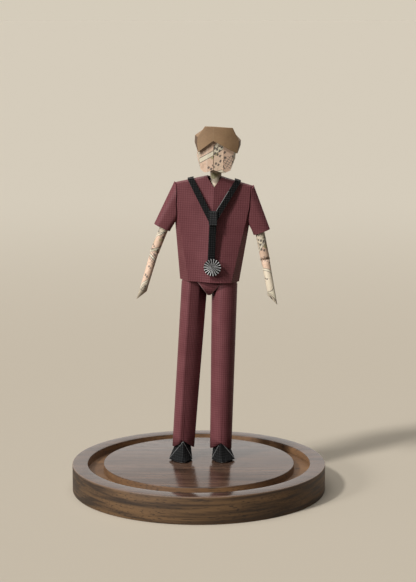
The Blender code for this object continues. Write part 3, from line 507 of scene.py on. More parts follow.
def walnut(start):
    spot = solid_place(start)
    run, aside, rise = spot.split()
    from_axis = (run * run + aside * aside).math("SQRT")
    late = late_wood(spot, aside, rise)
    grain = spot.stretch(0.02, 0.30, 0.45).cloud(1.0, 4)
    streak = spot.stretch(0.014, 0.04, 0.42).cloud(1.0, 4)
    pores = spot.stretch(0.13, 0.9, 1.8).cloud(1.0, 2).step(*PORE)
    fine = spot.stretch(0.05, 1.2, 1.2).cloud(1.0, 3)

    top = rise.step(STAND_TOP - 0.5, STAND_TOP - 0.1)
    # Painted shade: the top is painted darker than the rim and the groove.
    top_tone = late * 0.25 + grain.step(*STREAK) * 0.6 + 0.1
    shaded_top = top_tone.clamped().mix(SHADED_TOP_PALE, SHADED_TOP_DARK)
    # Painted shade: the left end of the rim is darker.
    left_end_shade = run.step(*LEFT_END_SHADE) * from_axis.step(*OUTER_WALL)
    side_tone = late * 0.22 + streak.step(*STREAK) * 0.9 + left_end_shade * 0.5 - 0.02
    side_wood = side_tone.clamped().mix(SIDE_WOOD_PALE, SIDE_WOOD_DARK)
    side_wood = (from_axis.step(*WITHIN_GROOVE) * 0.45).mix(side_wood, GROOVE_WOOD)
    wood = (pores * 0.75).mix(top.mix(side_wood, shaded_top), PORE_DARK)

    rim = from_axis.step(STAND_RADIUS - 1.0, STAND_RADIUS - 0.2)
    arris = rim * rise.step(STAND_TOP - 1.2, STAND_TOP - 0.2)
    colour = (arris * 0.35).mix(wood, ARRIS_WOOD)
    roughness = 0.60 - top * 0.48 + fine * 0.06 + pores * 0.05
    return colour, roughness, grain - pores * 0.15, 0.08 * MM


WALNUT = finish("satin walnut", walnut)


# %% What is inside the figure
def plain_fibre(name, stretch, dark, pale):
    def fibre(start):
        strand = solid_place(start).stretch(*stretch).cloud(1.0, 4)
        return strand.mix(dark, pale), 0.6 + strand * 0.25, strand, 0.05 * MM

    return finish(name, fibre)


CARD = plain_fibre("grey card", (0.7, 0.7, 0.7), rgb(0.30, 0.25, 0.19), rgb(0.52, 0.46, 0.37))
BAMBOO = plain_fibre("bamboo", (2.0, 2.0, 0.08), rgb(0.40, 0.27, 0.13), rgb(0.66, 0.50, 0.29))

# %% [markdown]
# ## How a folded piece is made
#
# A folded piece starts from its solid: the loose triangles are merged, the flat facets are made
# whole again, and the sheet stands upright. Its thin side faces are cut edges. Every other edge
# between two facets is a fold, and a hard paper fold is not a knife edge, so a narrow bevel rounds
# it. The bevel's faces are marked as worn.

# %% From a solid to a sheet with folds
WELD = 0.004 * MM
FLAT = math.radians(0.6)
FOLD_FROM = math.radians(5)
CUT_EDGE_WIDTH = 0.56 * MM
# The third slot holds painted shade: the darker brown on the hair's sides.
PAPER_SIDE, EDGE_SIDE, PAINTED_SHADE_SIDE = 0, 1, 2


def upright_copy(node):
    """A solid's shape in the upright frame, with its facets whole and its cut edges marked."""
    bm = bmesh.new()
    bm.from_mesh(frame["nodes"][node].data)
    bmesh.ops.remove_doubles(bm, verts=bm.verts, dist=WELD)
    bmesh.ops.dissolve_limit(bm, angle_limit=FLAT, verts=bm.verts, edges=bm.edges)
    bm.transform(to_figure)
    bm.loops.layers.float.new("fold")
    for face in bm.faces:
        width = 2 * face.calc_area() / face.calc_perimeter()
        face.material_index = EDGE_SIDE if width < CUT_EDGE_WIDTH else PAPER_SIDE
        face.smooth = True
    return bm


def soften_folds(bm, radius, least=FOLD_FROM):
    """Round the folds of a sheet, but not its cut edges, and mark them as worn."""
    folds = []
    for edge in bm.edges:
        sides = [face.material_index for face in edge.link_faces]
        if EDGE_SIDE in sides:
            edge.smooth = False
        elif edge.is_manifold and edge.calc_face_angle() > least:
            folds.append(edge)
    made = bmesh.ops.bevel(bm, geom=folds, offset=radius, affect="EDGES", segments=2, profile=0.5,
                           material=-1, clamp_overlap=True)
    worn = bm.loops.layers.float["fold"]
    for face in made["faces"]:
        for loop in face.loops:
            loop[worn] = 1.0
        for edge in face.edges:
            edge.smooth = False


print("a cut edge is narrower than", round(CUT_EDGE_WIDTH / MM, 2), "mm")

# %% Slice a sheet so that it can bend
SLICE = 2.6 * MM


def cut_through(bm, point, normal, near=0):
    """Cut the whole mesh along a plane."""
    geom = bm.verts[:] + bm.edges[:] + bm.faces[:]
    bmesh.ops.bisect_plane(bm, geom=geom, plane_co=point, plane_no=normal, dist=near)


def slice_up(bm, direction, step=SLICE):
    """Cut a mesh across at even steps along a direction."""
    reach = [vert.co.dot(direction) for vert in bm.verts]
    low, high = min(reach), max(reach)
    count = max(1, round((high - low) / step))
    for index in range(1, count):
        cut_through(bm, direction * (low + (high - low) * index / count), direction, WELD)


print("slices about", round(SLICE / MM, 2), "mm wide")

# %% Flat paper coordinates, and the finished object
SIDE_FACING = 0.75


def lay_flat(bm, start=(0, 0), faces=None):
    """Paper coordinates in millimetres: each face looks along the axis it faces most."""
    layer = bm.loops.layers.uv.get("paper") or bm.loops.layers.uv.new("paper")
    bm.normal_update()
    for face in faces or bm.faces:
        for loop in face.loops:
            spot = loop.vert.co
            across = spot.y if abs(face.normal.x) > SIDE_FACING else spot.x
            along = spot.y if abs(face.normal.z) > SIDE_FACING else spot.z
            loop[layer].uv = (start[0] + across / MM, start[1] + along / MM)


def set_down(name, bm, finishes):
    """Turn a bmesh into a named object with its finishes."""
    mesh = bpy.data.meshes.new(name)
    bm.to_mesh(mesh)
    bm.free()
    for material in finishes:
        mesh.materials.append(material)
    obj = bpy.data.objects.new(name, mesh)
    bpy.context.scene.collection.objects.link(obj)
    print("made:", name, "faces:", len(mesh.polygons))
    return obj


def piece(name, bm, finishes, body, nodes, place=figure):
    """Set a piece down in its place, where it stands for CAD nodes."""
    bm.transform(place)
    obj = set_down(name, bm, finishes)
    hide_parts(*nodes)
    if body:
        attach(obj, body)
    return obj


# %% [markdown]
# ## The stand
#
# A turner cuts a disc, hollows a ring groove and breaks every edge with a touch of sandpaper. A
# spin of the same half profile gives that shape, and a bevel breaks the edges.

# %% Turn the stand
GROOVE_INNER = 56.5 * MM
GROOVE_OUTER = 65.9 * MM
GROOVE_FLOOR = 11 * MM
BROKEN_EDGE = 0.55 * MM
STAND_STEPS = 160
CORNER_FROM, SMOOTH_BELOW = math.radians(60), math.radians(24)


def turn_stand():
    outer = stand_high.x
    top = stand_high.z
    profile = [(0, 0), (outer, 0), (outer, top), (GROOVE_OUTER, top), (GROOVE_OUTER, GROOVE_FLOOR),
               (GROOVE_INNER, GROOVE_FLOOR), (GROOVE_INNER, top), (0, top)]
    bm = bmesh.new()
    verts = [bm.verts.new((radius, 0, height)) for radius, height in profile]
    edges = [bm.edges.new(pair) for pair in zip(verts, verts[1:])]
    bmesh.ops.spin(bm, geom=verts + edges, cent=(0, 0, 0), axis=UP, angle=math.tau,
                   steps=STAND_STEPS, use_merge=True)
    bmesh.ops.remove_doubles(bm, verts=bm.verts, dist=WELD)
    bmesh.ops.recalc_face_normals(bm, faces=bm.faces)
    corners = [edge for edge in bm.edges if edge.calc_face_angle() > CORNER_FROM]
    bmesh.ops.bevel(bm, geom=corners, offset=BROKEN_EDGE, affect="EDGES", segments=3, profile=0.5,
                    material=-1)
    for face in bm.faces:
        face.smooth = True
    for edge in bm.edges:
        edge.smooth = edge.calc_face_angle() < SMOOTH_BELOW
    piece("walnut_stand", bm, [WALNUT], "stand", ["stand"], Matrix())


turn_stand()

# %% [markdown]
# ## Rolled tubes
#
# Trouser legs, neck and arms are rolled from strips of paper. A rolled tube is not a clean
# cylinder: the strip's far edge laps over its near edge and leaves a small step. Circles are placed
# along the tube, each grown a little round its turn so that the step appears at its seam, and they
# are bridged into a skin that carries the strip's flat coordinates.

# %% Roll a strip into a tube
LAP = 0.28 * MM


def rolled_tube(stations, sides, seam, start=(0, 0), press=None):
    """A tube through (frame, half width, half depth) stations, with its seam at an angle."""
    bm = bmesh.new()
    bm.loops.layers.float.new("fold")
    layer = bm.loops.layers.uv.new("paper")
    flat = {}
    rings = []
    run = 0
    girth = math.tau * stations[0][1]
    for index, (spot, half_width, half_depth) in enumerate(stations):
        if index:
            run += (spot.translation - stations[index - 1][0].translation).length
        verts = bmesh.ops.create_circle(bm, segments=sides, radius=1)["verts"]
        rings.append(list(dict.fromkeys(edge for vert in verts for edge in vert.link_edges)))
        for turn, vert in enumerate(verts):
            share = turn / sides
            angle = seam + math.tau * share
            pressed = press(angle) if press else 1
            lap = LAP * (share - 1)
            vert.co = (math.cos(angle) * pressed * (half_width + lap),
                       math.sin(angle) * pressed * (half_depth + lap), 0)
            vert.co = spot @ vert.co
            flat[vert] = (share * girth / MM, -run / MM)
    for upper, lower in zip(rings, rings[1:]):
        bmesh.ops.bridge_loops(bm, edges=upper + lower)
    bmesh.ops.recalc_face_normals(bm, faces=bm.faces)
    for face in bm.faces:
        face.smooth = True
        wide = max(flat[vert][0] for vert in face.verts)
        for loop in face.loops:
            across, along = flat[loop.vert]
            if wide - across > girth / MM / 2:
                across += girth / MM
            loop[layer].uv = (start[0] + across, start[1] + along)
    return bm, rings


print("a rolled strip laps in a step of", round(LAP / MM, 2), "mm")

# %% Cut a sheet, and give it its thickness
def cut_away(bm, planes):
    """Remove the part of a sheet that lies behind all of some (point, normal) planes."""
    for point, normal in planes:
        cut_through(bm, point, normal)
    behind = []
    for face in bm.faces:
        middle = face.calc_center_median()
        if all((middle - point).dot(normal) < 0 for point, normal in planes):
            behind.append(face)
    bmesh.ops.delete(bm, geom=behind, context="FACES")


def paper_wall(obj, wall, even=True):
    """Give a sheet its thickness, with the cut edge's finish on its rim."""
    sheet = obj.modifiers.new("paper", "SOLIDIFY")
    sheet.thickness = wall
    sheet.offset = -1
    sheet.use_even_offset = even
    sheet.material_offset_rim = EDGE_SIDE


# %% [markdown]
# ## Trousers
#
# Each leg is a tapered tube with its seam at the inner back and an inverted V cut from the front of
# its hem. One has a soft pressed crease down its front, and the other is pressed flat there. At the
# crotch the two tubes are cut on a slant, and a small V of paper is glued over the gap under the
# shirt. A thin line of its core shows along its slanted edges: a cut along each edge leaves a
# narrow face that takes the core's finish.

# %% Roll the legs
LEG_PAPER, LEG_SIDES, LEG_SEAM, LEG_START = 0.4 * MM, 72, 50, 37
LEG_LEVELS = [(8, 11.2, 6.65), (40, 10.44, 7.0), (75, 9.6, 7.4), (106.5, 8.85, 7.75),
              (108, 8.81, 7.35), (114, 8.67, 7.35)]
CREASE_RISE, CREASE_SHARP = 0.04, 8
FLAT_MIDDLE, FLAT_HALF, FLAT_ROUND = math.radians(-60), math.radians(50), 0.28
NOTCH_WIDTH, NOTCH_HEIGHT = 8.6 * MM, 3.2 * MM
CROTCH_X, CROTCH_Z, CROTCH_SLOPE = 1.1 * MM, 100 * MM, 0.7
HEM_DROP = 1.3 * MM
SIDES = {"left": 1, "right": -1}


def creased(angle):
    """A soft crease down the middle of the front."""
    return 1 + CREASE_RISE * max(0, -math.sin(angle)) ** CREASE_SHARP


def flattened(angle):
    """A front that is pressed flat between two creases."""
    off = abs((angle - FLAT_MIDDLE + math.pi) % math.tau - math.pi)
    if off > FLAT_HALF:
        return 1
    return FLAT_ROUND + (1 - FLAT_ROUND) * math.cos(FLAT_HALF) / math.cos(off)


def roll_leg(name, side):
    stations = []
    for height, spread, radius in reversed(LEG_LEVELS):
        spot = Matrix.Translation((side * spread * MM, 0, height * MM))
        stations.append((spot, radius * MM, radius * MM))
    seam = math.radians(90 + side * LEG_SEAM)
    press = creased if side > 0 else flattened
    bm, rings = rolled_tube(stations, LEG_SIDES, seam, (0, side * LEG_START), press)
    low, spread, radius = (size * MM for size in LEG_LEVELS[0])
    for vert in {vert for edge in rings[-1] for vert in edge.verts}:
        aside = min(1, abs(vert.co.x - side * spread) / radius)
        vert.co.z -= HEM_DROP * aside ** 2
    hem = Vector((side * spread, 0, low + NOTCH_HEIGHT))
    notch = [(hem, Vector((lean * NOTCH_HEIGHT, 0, NOTCH_WIDTH / 2))) for lean in (1, -1)]
    cut_away(bm, notch + [(hem, BACK)])
    crotch = Vector((side * CROTCH_X, 0, CROTCH_Z))
    cut_away(bm, [(crotch, Vector((side, 0, -CROTCH_SLOPE)))])
    leg = piece(name, bm, [MAROON, MAROON_EDGE], "stand", [name])
    paper_wall(leg, LEG_PAPER)


for word, side in SIDES.items():
    roll_leg(word + "_trouser_leg", side)

# %% The seat's two small panels
SEAT_LOW, SEAT_OUT, SEAT_TILT, SEAT_WIDER = 100 * MM, 0.6 * MM, 0.163, 1.16
CORE_LINE, SEAT_START = 0.3 * MM, (60, 0)


def show_core(bm, face, near, far, width=CORE_LINE):
    """Let the paper's core show as a line along one edge of a flat face."""
    inward = face.normal.cross(far - near).normalized()
    if inward.dot(face.calc_center_median() - near) < 0:
        inward.negate()
    geom = [face, *face.edges, *face.verts]
    line = near + inward * width
    cut = bmesh.ops.bisect_plane(bm, geom=geom, plane_co=line, plane_no=inward)["geom"]
    for part in cut:
        if isinstance(part, bmesh.types.BMFace):
            if inward.dot(part.calc_center_median() - near) < width:
                part.material_index = EDGE_SIDE
            else:
                face = part
    return face


def cut_seat(word, facing):
    node = "seat_" + word + "_panel"
    bm = upright_copy(node)
    for vert in bm.verts:
        vert.co.x *= SEAT_WIDER
        vert.co.y += facing * (SEAT_OUT + SEAT_TILT * (vert.co.z - SEAT_LOW))
    bm.normal_update()
    sheet = max(bm.faces, key=lambda face: facing * face.normal.y)
    slants = []
    for edge in sheet.edges:
        near, far = (vert.co.copy() for vert in edge.verts)
        if abs(near.z - far.z) > CORE_LINE:
            slants.append((near, far))
    for near, far in slants:
        sheet = show_core(bm, sheet, near, far)
    lay_flat(bm, SEAT_START)
    piece("seat_" + word, bm, [MAROON, MAROON_EDGE], "stand", [node])


cut_seat("front", -1)
cut_seat("back", 1)

# %% [markdown]
# ## Shoes
#
# A shoe is one square of black paper folded into a prow. Its front two facets are the top layer of
# the fold, so they stand proud of the rest by one paper, and a line of the core shows along their
# outer edges. The paper at the toe is rounded and crumpled where many layers meet: the toe is
# sliced, and its points bulge forward over the sole and are pushed about by noise.

# %% Lift a flap by one paper
FLAP_PAPER = 0.35 * MM


def raise_flap(bm, faces, lift):
    """Lift some facets by one paper, with a cut edge round them."""
    made = bmesh.ops.extrude_face_region(bm, geom=faces)["geom"]
    tops = [item for item in made if isinstance(item, bmesh.types.BMFace)]
    bm.normal_update()
    for vert in (item for item in made if isinstance(item, bmesh.types.BMVert)):
        flaps = [face.normal for face in vert.link_faces if face in tops]
        vert.co += sum(flaps, Vector()).normalized() * lift
    for top in tops:
        top.material_index = PAPER_SIDE
        for edge in top.edges:
            for face in edge.link_faces:
                if face not in tops:
                    face.material_index = EDGE_SIDE
    return tops


print("a flap is lifted by", round(FLAP_PAPER / MM, 2), "mm")

# %% Fold the shoes
SHOE_FOLD, SHOE_FOLD_FROM, FRONT_FACING = 0.2 * MM, math.radians(8), 0.12
TOE_HEIGHT, TOE_LENGTH, TOE_ROUND, TOE_SLICE = 3.4 * MM, 7.4 * MM, 6 * MM, 0.9 * MM
TOE_BULGE, TOE_TUCK, TOE_SOON = 2.8, 2.2, 3
WING_BACK, SHOE_START = -5.6 * MM, (100, 0)
CRUMPLE, CRUMPLE_SIZE, CRUMPLE_LIFT, CRUMPLE_APART = 1.5 * MM, 1.9 * MM, 0.7, 50 * MM


def clamp(share):
    return max(0, min(1, share))


def crumple_toe(bm, side):
    """Round the toe above the sole, and push its points about."""
    sole = min(vert.co.z for vert in bm.verts)
    for height in (TOE_HEIGHT, TOE_HEIGHT / 2):
        cut_through(bm, UP * (sole + height), UP)
    slice_up(bm, ASIDE, TOE_SLICE)
    for vert in bm.verts:
        low = max(0, 1 - max(0, vert.co.z - sole) / TOE_HEIGHT)
        bulge = low * (TOE_BULGE - TOE_TUCK * low)
        ahead = clamp((WING_BACK - vert.co.y) / TOE_LENGTH)
        spot = Vector((vert.co.x, 0, side * CRUMPLE_APART))
        push = min(1, TOE_SOON * ahead) * CRUMPLE * noise.noise(spot / CRUMPLE_SIZE)
        vert.co.y -= bulge * (TOE_ROUND * (ahead - ahead ** 3) + push)
        vert.co.z += 4 * low * (1 - low) * push * CRUMPLE_LIFT


def fold_shoe(word, side):
    bm = upright_copy(word + "_shoe")
    toe = min(bm.verts, key=lambda vert: vert.co.y)
    front = [face for face in toe.link_faces if face.normal.z > FRONT_FACING]
    for face in raise_flap(bm, front, FLAP_PAPER):
        tip = max(face.verts, key=lambda vert: vert.co.z)
        corner = max(face.verts, key=lambda vert: vert.co.y - vert.co.z)
        line = CORE_LINE if face.normal.x > 0 else CORE_LINE / 2
        show_core(bm, face, tip.co.copy(), corner.co.copy(), line)
    soften_folds(bm, SHOE_FOLD, SHOE_FOLD_FROM)
    crumple_toe(bm, side)
    lay_flat(bm, SHOE_START)
    name = word + "_folded_shoe"
    piece(name, bm, [BLACK, BLACK_EDGE], "stand", [word + "_shoe"])


for word, side in SIDES.items():
    fold_shoe(word, side)

# %% [markdown]
# ## Shirt
#
# The shirt's front and back are roofs of two halves with bent-back sides. Card that is folded along
# its middle and held at its edges doesn't stay flat: one half of the front dishes in and the other
# swells near the hem, so each shades from one side to the other. The sheet is sliced into strips,
# and the strips are moved by a sine between the folds.

# %% Fold the shirt
SHIRT_HEM, SHIRT_CHEST, SHIRT_SHOULDER = 108 * MM, 152 * MM, 165 * MM
HEM_CREASE, CHEST_CREASE = 12.5 * MM, 21 * MM
SHIRT_FOLD, BELLY_FADE = 0.3 * MM, 16 * MM
BELLY = {
    "front": {1: (0.9 * MM, -0.2 * MM), -1: (-0.9 * MM, -0.9 * MM)},
    "back": {1: (0.9 * MM, 0.9 * MM), -1: (0.9 * MM, 0.9 * MM)},
}
RIPPLE, RIPPLE_SIZE, RIPPLE_APART = 0.16 * MM, 11 * MM, 100 * MM
PARTING, SHIRT_START = 0.4 * MM, 20


def fold_shirt(word, facing):
    bm = upright_copy("shirt_" + word)
    soften_folds(bm, SHIRT_FOLD)
    slice_up(bm, UP)
    slice_up(bm, ASIDE)
    for vert in bm.verts:
        spot = vert.co
        if abs(spot.y) < PARTING:
            spot.y = 0
            continue
        rise = clamp((spot.z - SHIRT_HEM) / (SHIRT_CHEST - SHIRT_HEM))
        half = HEM_CREASE + (CHEST_CREASE - HEM_CREASE) * rise
        share = min(1, abs(spot.x) / half)
        fade = clamp((SHIRT_SHOULDER - spot.z) / BELLY_FADE)
        at_hem, at_chest = BELLY[word][1 if spot.x > 0 else -1]
        belly = (at_hem + (at_chest - at_hem) * rise) * math.sin(math.pi * share) * fade
        wave = Vector((spot.x, facing * RIPPLE_APART, spot.z)) / RIPPLE_SIZE
        spot.y += facing * (belly + RIPPLE * fade * noise.noise(wave))
    lay_flat(bm, (0, facing * SHIRT_START))
    name, nodes = "shirt_" + word + "_folded", ["shirt_" + word]
    piece(name, bm, [MAROON, MAROON_EDGE], "stand", nodes)


for word, facing in (("front", -1), ("back", 1)):
    fold_shirt(word, facing)

# %% [markdown]
# ## Sleeves
#
# A sleeve is a flattened tube that is cut to the shirt's side. On the real figure it touches the
# shirt, so its cut edge is moved across the small fit that the solids keep between them, further at
# the front than at the back, where the lifted sleeve needs room. Only its cuff shows a cut edge.

# %% Fold the sleeves
SLEEVE_REACH, SLEEVE_FRONT_REACH = 0.1 * MM, 1.6 * MM
SLEEVE_HALF_DEPTH = 3.58 * MM
INNER_FACING, CUFF_FACING = -0.6, -0.8
SLEEVE_SMOOTH, SLEEVE_START = math.radians(35), (30, 7)


def fold_sleeve(word, side):
    bm = upright_copy(word + "_sleeve")
    inner = set()
    for face in bm.faces:
        if face.material_index == EDGE_SIDE and face.normal.x * side < INNER_FACING:
            inner.update(face.verts)
        if face.normal.z > CUFF_FACING:
            face.material_index = PAPER_SIDE
    for vert in inner:
        front = (SLEEVE_HALF_DEPTH - vert.co.y) / (2 * SLEEVE_HALF_DEPTH)
        vert.co.x -= side * (SLEEVE_REACH + (SLEEVE_FRONT_REACH - SLEEVE_REACH) * front ** 2)
    for edge in bm.edges:
        edge.smooth = edge.calc_face_angle() < SLEEVE_SMOOTH
    lay_flat(bm, (side * SLEEVE_START[0], SLEEVE_START[1]))
    name, nodes = word + "_folded_sleeve", [word + "_sleeve"]
    piece(name, bm, [MAROON, MAROON_EDGE], word + "_arm", nodes)


for word, side in SIDES.items():
    fold_sleeve(word, side)

# %% [markdown]
# ## Neck and arms
#
# The neck is a rolled cone that goes up into the head and leans forward into the V of the shirt. An
# arm is one rolled strip: it comes out of the cuff, is pinched where it creases at the elbow,
# narrows to the wrist and is pressed flat on a slant into a pointed hand. One skin for the whole
# arm keeps the paper unbroken at the crease, so it is blended between the two bodies that meet
# there.

# %% Roll the neck
TUBE_SIDES = 48
NECK_LEVELS = [(186, 3.0, 0), (179.5, 3.0, 0), (176, 3.5, 0), (174, 3.62, 0), (171.5, 3.5, 0.6),
               (167, 3.1, 2.2), (163, 2.7, 3.4), (158, 2.3, 3.4), (150, 2.3, 3.4)]
NECK_START = (76, -20)


def roll_neck():
    stations = []
    for height, radius, forward in NECK_LEVELS:
        spot = Matrix.Translation((NECK_OFF_MIDDLE, -forward * MM, height * MM))
        stations.append((spot, radius * MM, radius * MM))
    bm, _ = rolled_tube(stations, TUBE_SIDES, math.radians(90), NECK_START)
    piece("rolled_neck", bm, [MAP, MAP_EDGE], "stand", ["neck"])


roll_neck()

# %% Where each arm goes
ARM_RADIUS, FORE_RADIUS, WRIST_RADIUS = 2.8 * MM, 2.62 * MM, 2.35 * MM
SLEEVE_SPREAD, SLEEVE_LENGTH = math.radians(23), 27.1 * MM
ARM_FROM_FOLD = 6.35 * MM
ARM_INSIDE, ABOVE_CREASE = (9 * MM, 3 * MM, -3 * MM), (2.2 * MM, 1.0 * MM)
ELBOW_BEND = math.radians(16)
PINCH_HALF_WIDTH, PINCH_HALF_DEPTH = 3.0 * MM, 1.85 * MM
FORE_SHARES = (0.06, 0.16, 0.5, 0.86)
HAND_LENGTH, HAND_HALF_THICKNESS = 6.6 * MM, 0.55 * MM
ARM_SPREAD = {"left": math.radians(13.9), "right": math.radians(19.5)}
FOREARM_SPREAD = {"left": math.radians(13), "right": math.radians(14.2)}
FOREARM_LENGTH = {"left": 21.8 * MM, "right": 24.4 * MM}


def move(x, y, z):
    return Matrix.Translation((x, y, z))


def arm_stations(word, side):
    """Where the rolled strip goes, from inside the cuff to the finger tips."""
    fold = to_figure @ Vector(joints[word + "_shoulder_fold"]["pos_m"])
    crease = to_figure @ Vector(joints[word + "_elbow_crease"]["pos_m"])
    sleeve = Matrix.Translation(fold) @ Matrix.Rotation(-side * SLEEVE_SPREAD, 4, "Y")
    cuff = sleeve @ Vector((-side * ARM_FROM_FOLD, 0, -SLEEVE_LENGTH))
    upper = Matrix.Translation(cuff) @ Matrix.Rotation(-side * ARM_SPREAD[word], 4, "Y")
    shown = -(upper.inverted() @ crease).z
    swing = Matrix.Rotation(-side * FOREARM_SPREAD[word], 4, "Y")
    elbow = Matrix.Translation(crease) @ swing
    fore = elbow @ Matrix.Rotation(-ELBOW_BEND, 4, "X") @ move(0, -ARM_RADIUS, 0)
    pinch = elbow @ Matrix.Rotation(-ELBOW_BEND / 2, 4, "X") @ move(0, -PINCH_HALF_DEPTH, 0)
    length = FOREARM_LENGTH[word]

    stations = []
    for height in (*ARM_INSIDE, -0.5 * shown, *(above - shown for above in ABOVE_CREASE)):
        stations.append((upper @ move(0, 0, height), ARM_RADIUS, ARM_RADIUS))
    stations.append((pinch, PINCH_HALF_WIDTH, PINCH_HALF_DEPTH))
    for share in FORE_SHARES:
        radius = FORE_RADIUS + (WRIST_RADIUS - FORE_RADIUS) * share
        stations.append((fore @ move(0, 0, -share * length), radius, radius))
    inner = Vector((-side * WRIST_RADIUS, 0, -length))
    tip = Vector((side * WRIST_RADIUS, 0, -length - HAND_LENGTH))
    reach = inner - tip
    slant = Matrix.Rotation(math.atan2(-reach.z, reach.x), 4, "Y")
    palm = Matrix.Translation((inner + tip) / 2)
    stations.append((fore @ palm @ slant, reach.length / 2, HAND_HALF_THICKNESS))
    return stations, fore, crease


print("forearms in mm:", {word: round(size / MM, 1) for word, size in FOREARM_LENGTH.items()})

# %% Roll the arms
ARM_SEAM, BLEND_REACH = 60, 1.6 * MM
MAP_START = {"left": (131, -4), "right": (106, 32.5)}


def roll_arm(word, side):
    stations, fore, crease = arm_stations(word, side)
    seam = math.radians(90 - side * ARM_SEAM)
    bm, rings = rolled_tube(stations, TUBE_SIDES, seam, MAP_START[word])
    last = set(rings[-1])
    bmesh.ops.edgeloop_fill(bm, edges=[edge for edge in bm.edges if edge in last])
    arm = piece(word + "_rolled_arm", bm, [MAP, MAP_EDGE], None,
                [word + "_upper_arm", word + "_forearm"])
    middle = crease - BACK * ARM_RADIUS
    along = (fore.to_3x3() @ -UP).normalized() * BLEND_REACH
    above, below = figure @ (middle - along), figure @ (middle + along)
    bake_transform(arm, word + "_arm", word + "_hand", above, below)


for word, side in SIDES.items():
    roll_arm(word, side)

# %% [markdown]
# ## Face and hair
#
# The face is folded, with a flap from each side that stops short of the other: the middle strip
# between them is the sheet below. The two flaps are raised by one paper, which leaves the fine
# shadow lines down the face, and one side tapers to the chin. Each part comes from its own place on
# the map. The hair is one brown sheet folded round the head: its crown slopes, and the two locks
# over the brow swell a little between their folds.

# %% Fold the face
FACE_FLAP, FACE_FOLD, FACE_FACING = 0.3 * MM, 0.22 * MM, -0.5
FACE_SLITS = (-1.8 * MM, 4.3 * MM)
MIDDLE_START, ONE_FLAP_START, OTHER_FLAP_START = (160, -345.4), (159, -265.5), (61, -170.7)
FACE_TAPER, TAPER_TOP, TAPER_HEIGHT, TAPER_WIDTH = 1.4 * MM, 182 * MM, 9.6 * MM, 2.7 * MM


def fold_face():
    bm = upright_copy("face")
    one_side, other_side = [], []
    for face in bm.faces:
        if face.normal.y < FACE_FACING and face.material_index == PAPER_SIDE:
            middle = face.calc_center_median().x
            if middle < FACE_SLITS[0]:
                one_side.append(face)
            elif middle > FACE_SLITS[1]:
                other_side.append(face)
    print("face facets in the flaps:", len(one_side), "and", len(other_side))
    one_flap = raise_flap(bm, one_side, FACE_FLAP)
    other_flap = raise_flap(bm, other_side, FACE_FLAP)
    lay_flat(bm, MIDDLE_START)
    lay_flat(bm, ONE_FLAP_START, one_flap)
    lay_flat(bm, OTHER_FLAP_START, other_flap)
    soften_folds(bm, FACE_FOLD)
    for vert in bm.verts:
        low = max(0, (TAPER_TOP - vert.co.z) / TAPER_HEIGHT)
        aside = clamp((vert.co.x - FACE_SLITS[1]) / TAPER_WIDTH)
        vert.co.x -= FACE_TAPER * low * aside
    piece("folded_face", bm, [MAP, MAP_EDGE], "head", ["face"])


fold_face()

# %% Fold the hair
HAIR_FOLD, HAIR_SLICE, SIDEWAYS_FOR_SHADE = 0.3 * MM, 1.6 * MM, 0.9
HAIR_FRONT, HAIR_TOP = -8 * MM, 197.2 * MM
LOCKS = [(-10.9 * MM, -1.8 * MM, 0.35 * MM), (-1.8 * MM, 13.3 * MM, 1.3 * MM)]
CROWN_RISE, CROWN_DROP, CROWN_FRONT, CROWN_LENGTH = 1.2 * MM, 3.4 * MM, -11 * MM, 19.6 * MM
HAIR_SIDE, HAIR_CORNER = 12.5 * MM, 192 * MM
SIDE_OUT, SIDE_DOWN = 0.7 * MM, 1.5 * MM


def crown(spot):
    """How far the crown is raised at a point: it slopes down from its front to its back."""
    return CROWN_RISE - CROWN_DROP * clamp((spot.y - CROWN_FRONT) / CROWN_LENGTH)


def fold_hair():
    bm = upright_copy("hair")
    for vert in bm.verts:
        if vert.co.z > HAIR_TOP:
            vert.co.z += crown(vert.co)
        elif vert.co.x > HAIR_SIDE:
            vert.co.x += SIDE_OUT if vert.co.y > 0 else 0
            vert.co.z -= SIDE_DOWN if vert.co.z > HAIR_CORNER else 0
    bm.normal_update()
    # Faces that look straight to the sides get the darker brown: painted shade.
    for face in bm.faces:
        if abs(face.normal.x) > SIDEWAYS_FOR_SHADE and face.material_index == PAPER_SIDE:
            face.material_index = PAINTED_SHADE_SIDE
    soften_folds(bm, HAIR_FOLD)
    slice_up(bm, ASIDE, HAIR_SLICE)
    for vert in bm.verts:
        for near, far, swelling in LOCKS:
            if vert.co.y < HAIR_FRONT and near < vert.co.x < far:
                vert.co.y -= swelling * math.sin(math.pi * (vert.co.x - near) / (far - near))
    lay_flat(bm)
    piece("folded_hair", bm, [BROWN, BROWN_EDGE, BROWN_PAINTED_SHADE], "head", ["hair"])


fold_hair()

# %% [markdown]
# ## Stethoscope
#
# Black paper strips hang over the shoulders and meet under a wrapped tab, and a strip with a
# pleated rosette hangs from behind it. The tab leans with the straps, and slices that go in and out
# by turns give the edges of its wraps. The rosette is a strip folded like an accordion and closed
# into a ring: one spoke is spun round, every second spoke is pulled forward, and these ridges are
# marked as folds and painted pale, as wear and as a painted highlight where they catch the light,
# so that they show as fine pale rays.

# %% The straps and the hanging strip
STRIPS = {
    "stethoscope_left_strap": "stand",
    "stethoscope_right_strap": "stand",
    "stethoscope_neck_strap": "stand",
    "stethoscope_drop_strip": "stethoscope_drop",
}
STRAP_FOLD, STRAP_FOLD_FROM, STRAP_FACING = 0.15 * MM, math.radians(25), -0.9
STRAP_LINE, STRAP_START = 0.22 * MM, (0, 9)
STRIP_SWELL = Vector((1.18, 1, 1))
STRIP_MIDDLE, STRIP_BACK = 130 * MM, 0.7 * MM
STRIP_TUCK = Vector((0, 1.1, 1.5)) * MM


def middle_of(bm):
    return sum((vert.co for vert in bm.verts), Vector()) / len(bm.verts)


def swell(bm, amounts):
    """Make a piece bigger about its own middle."""
    space = Matrix.Translation(-middle_of(bm))
    bmesh.ops.scale(bm, vec=amounts, space=space, verts=bm.verts)


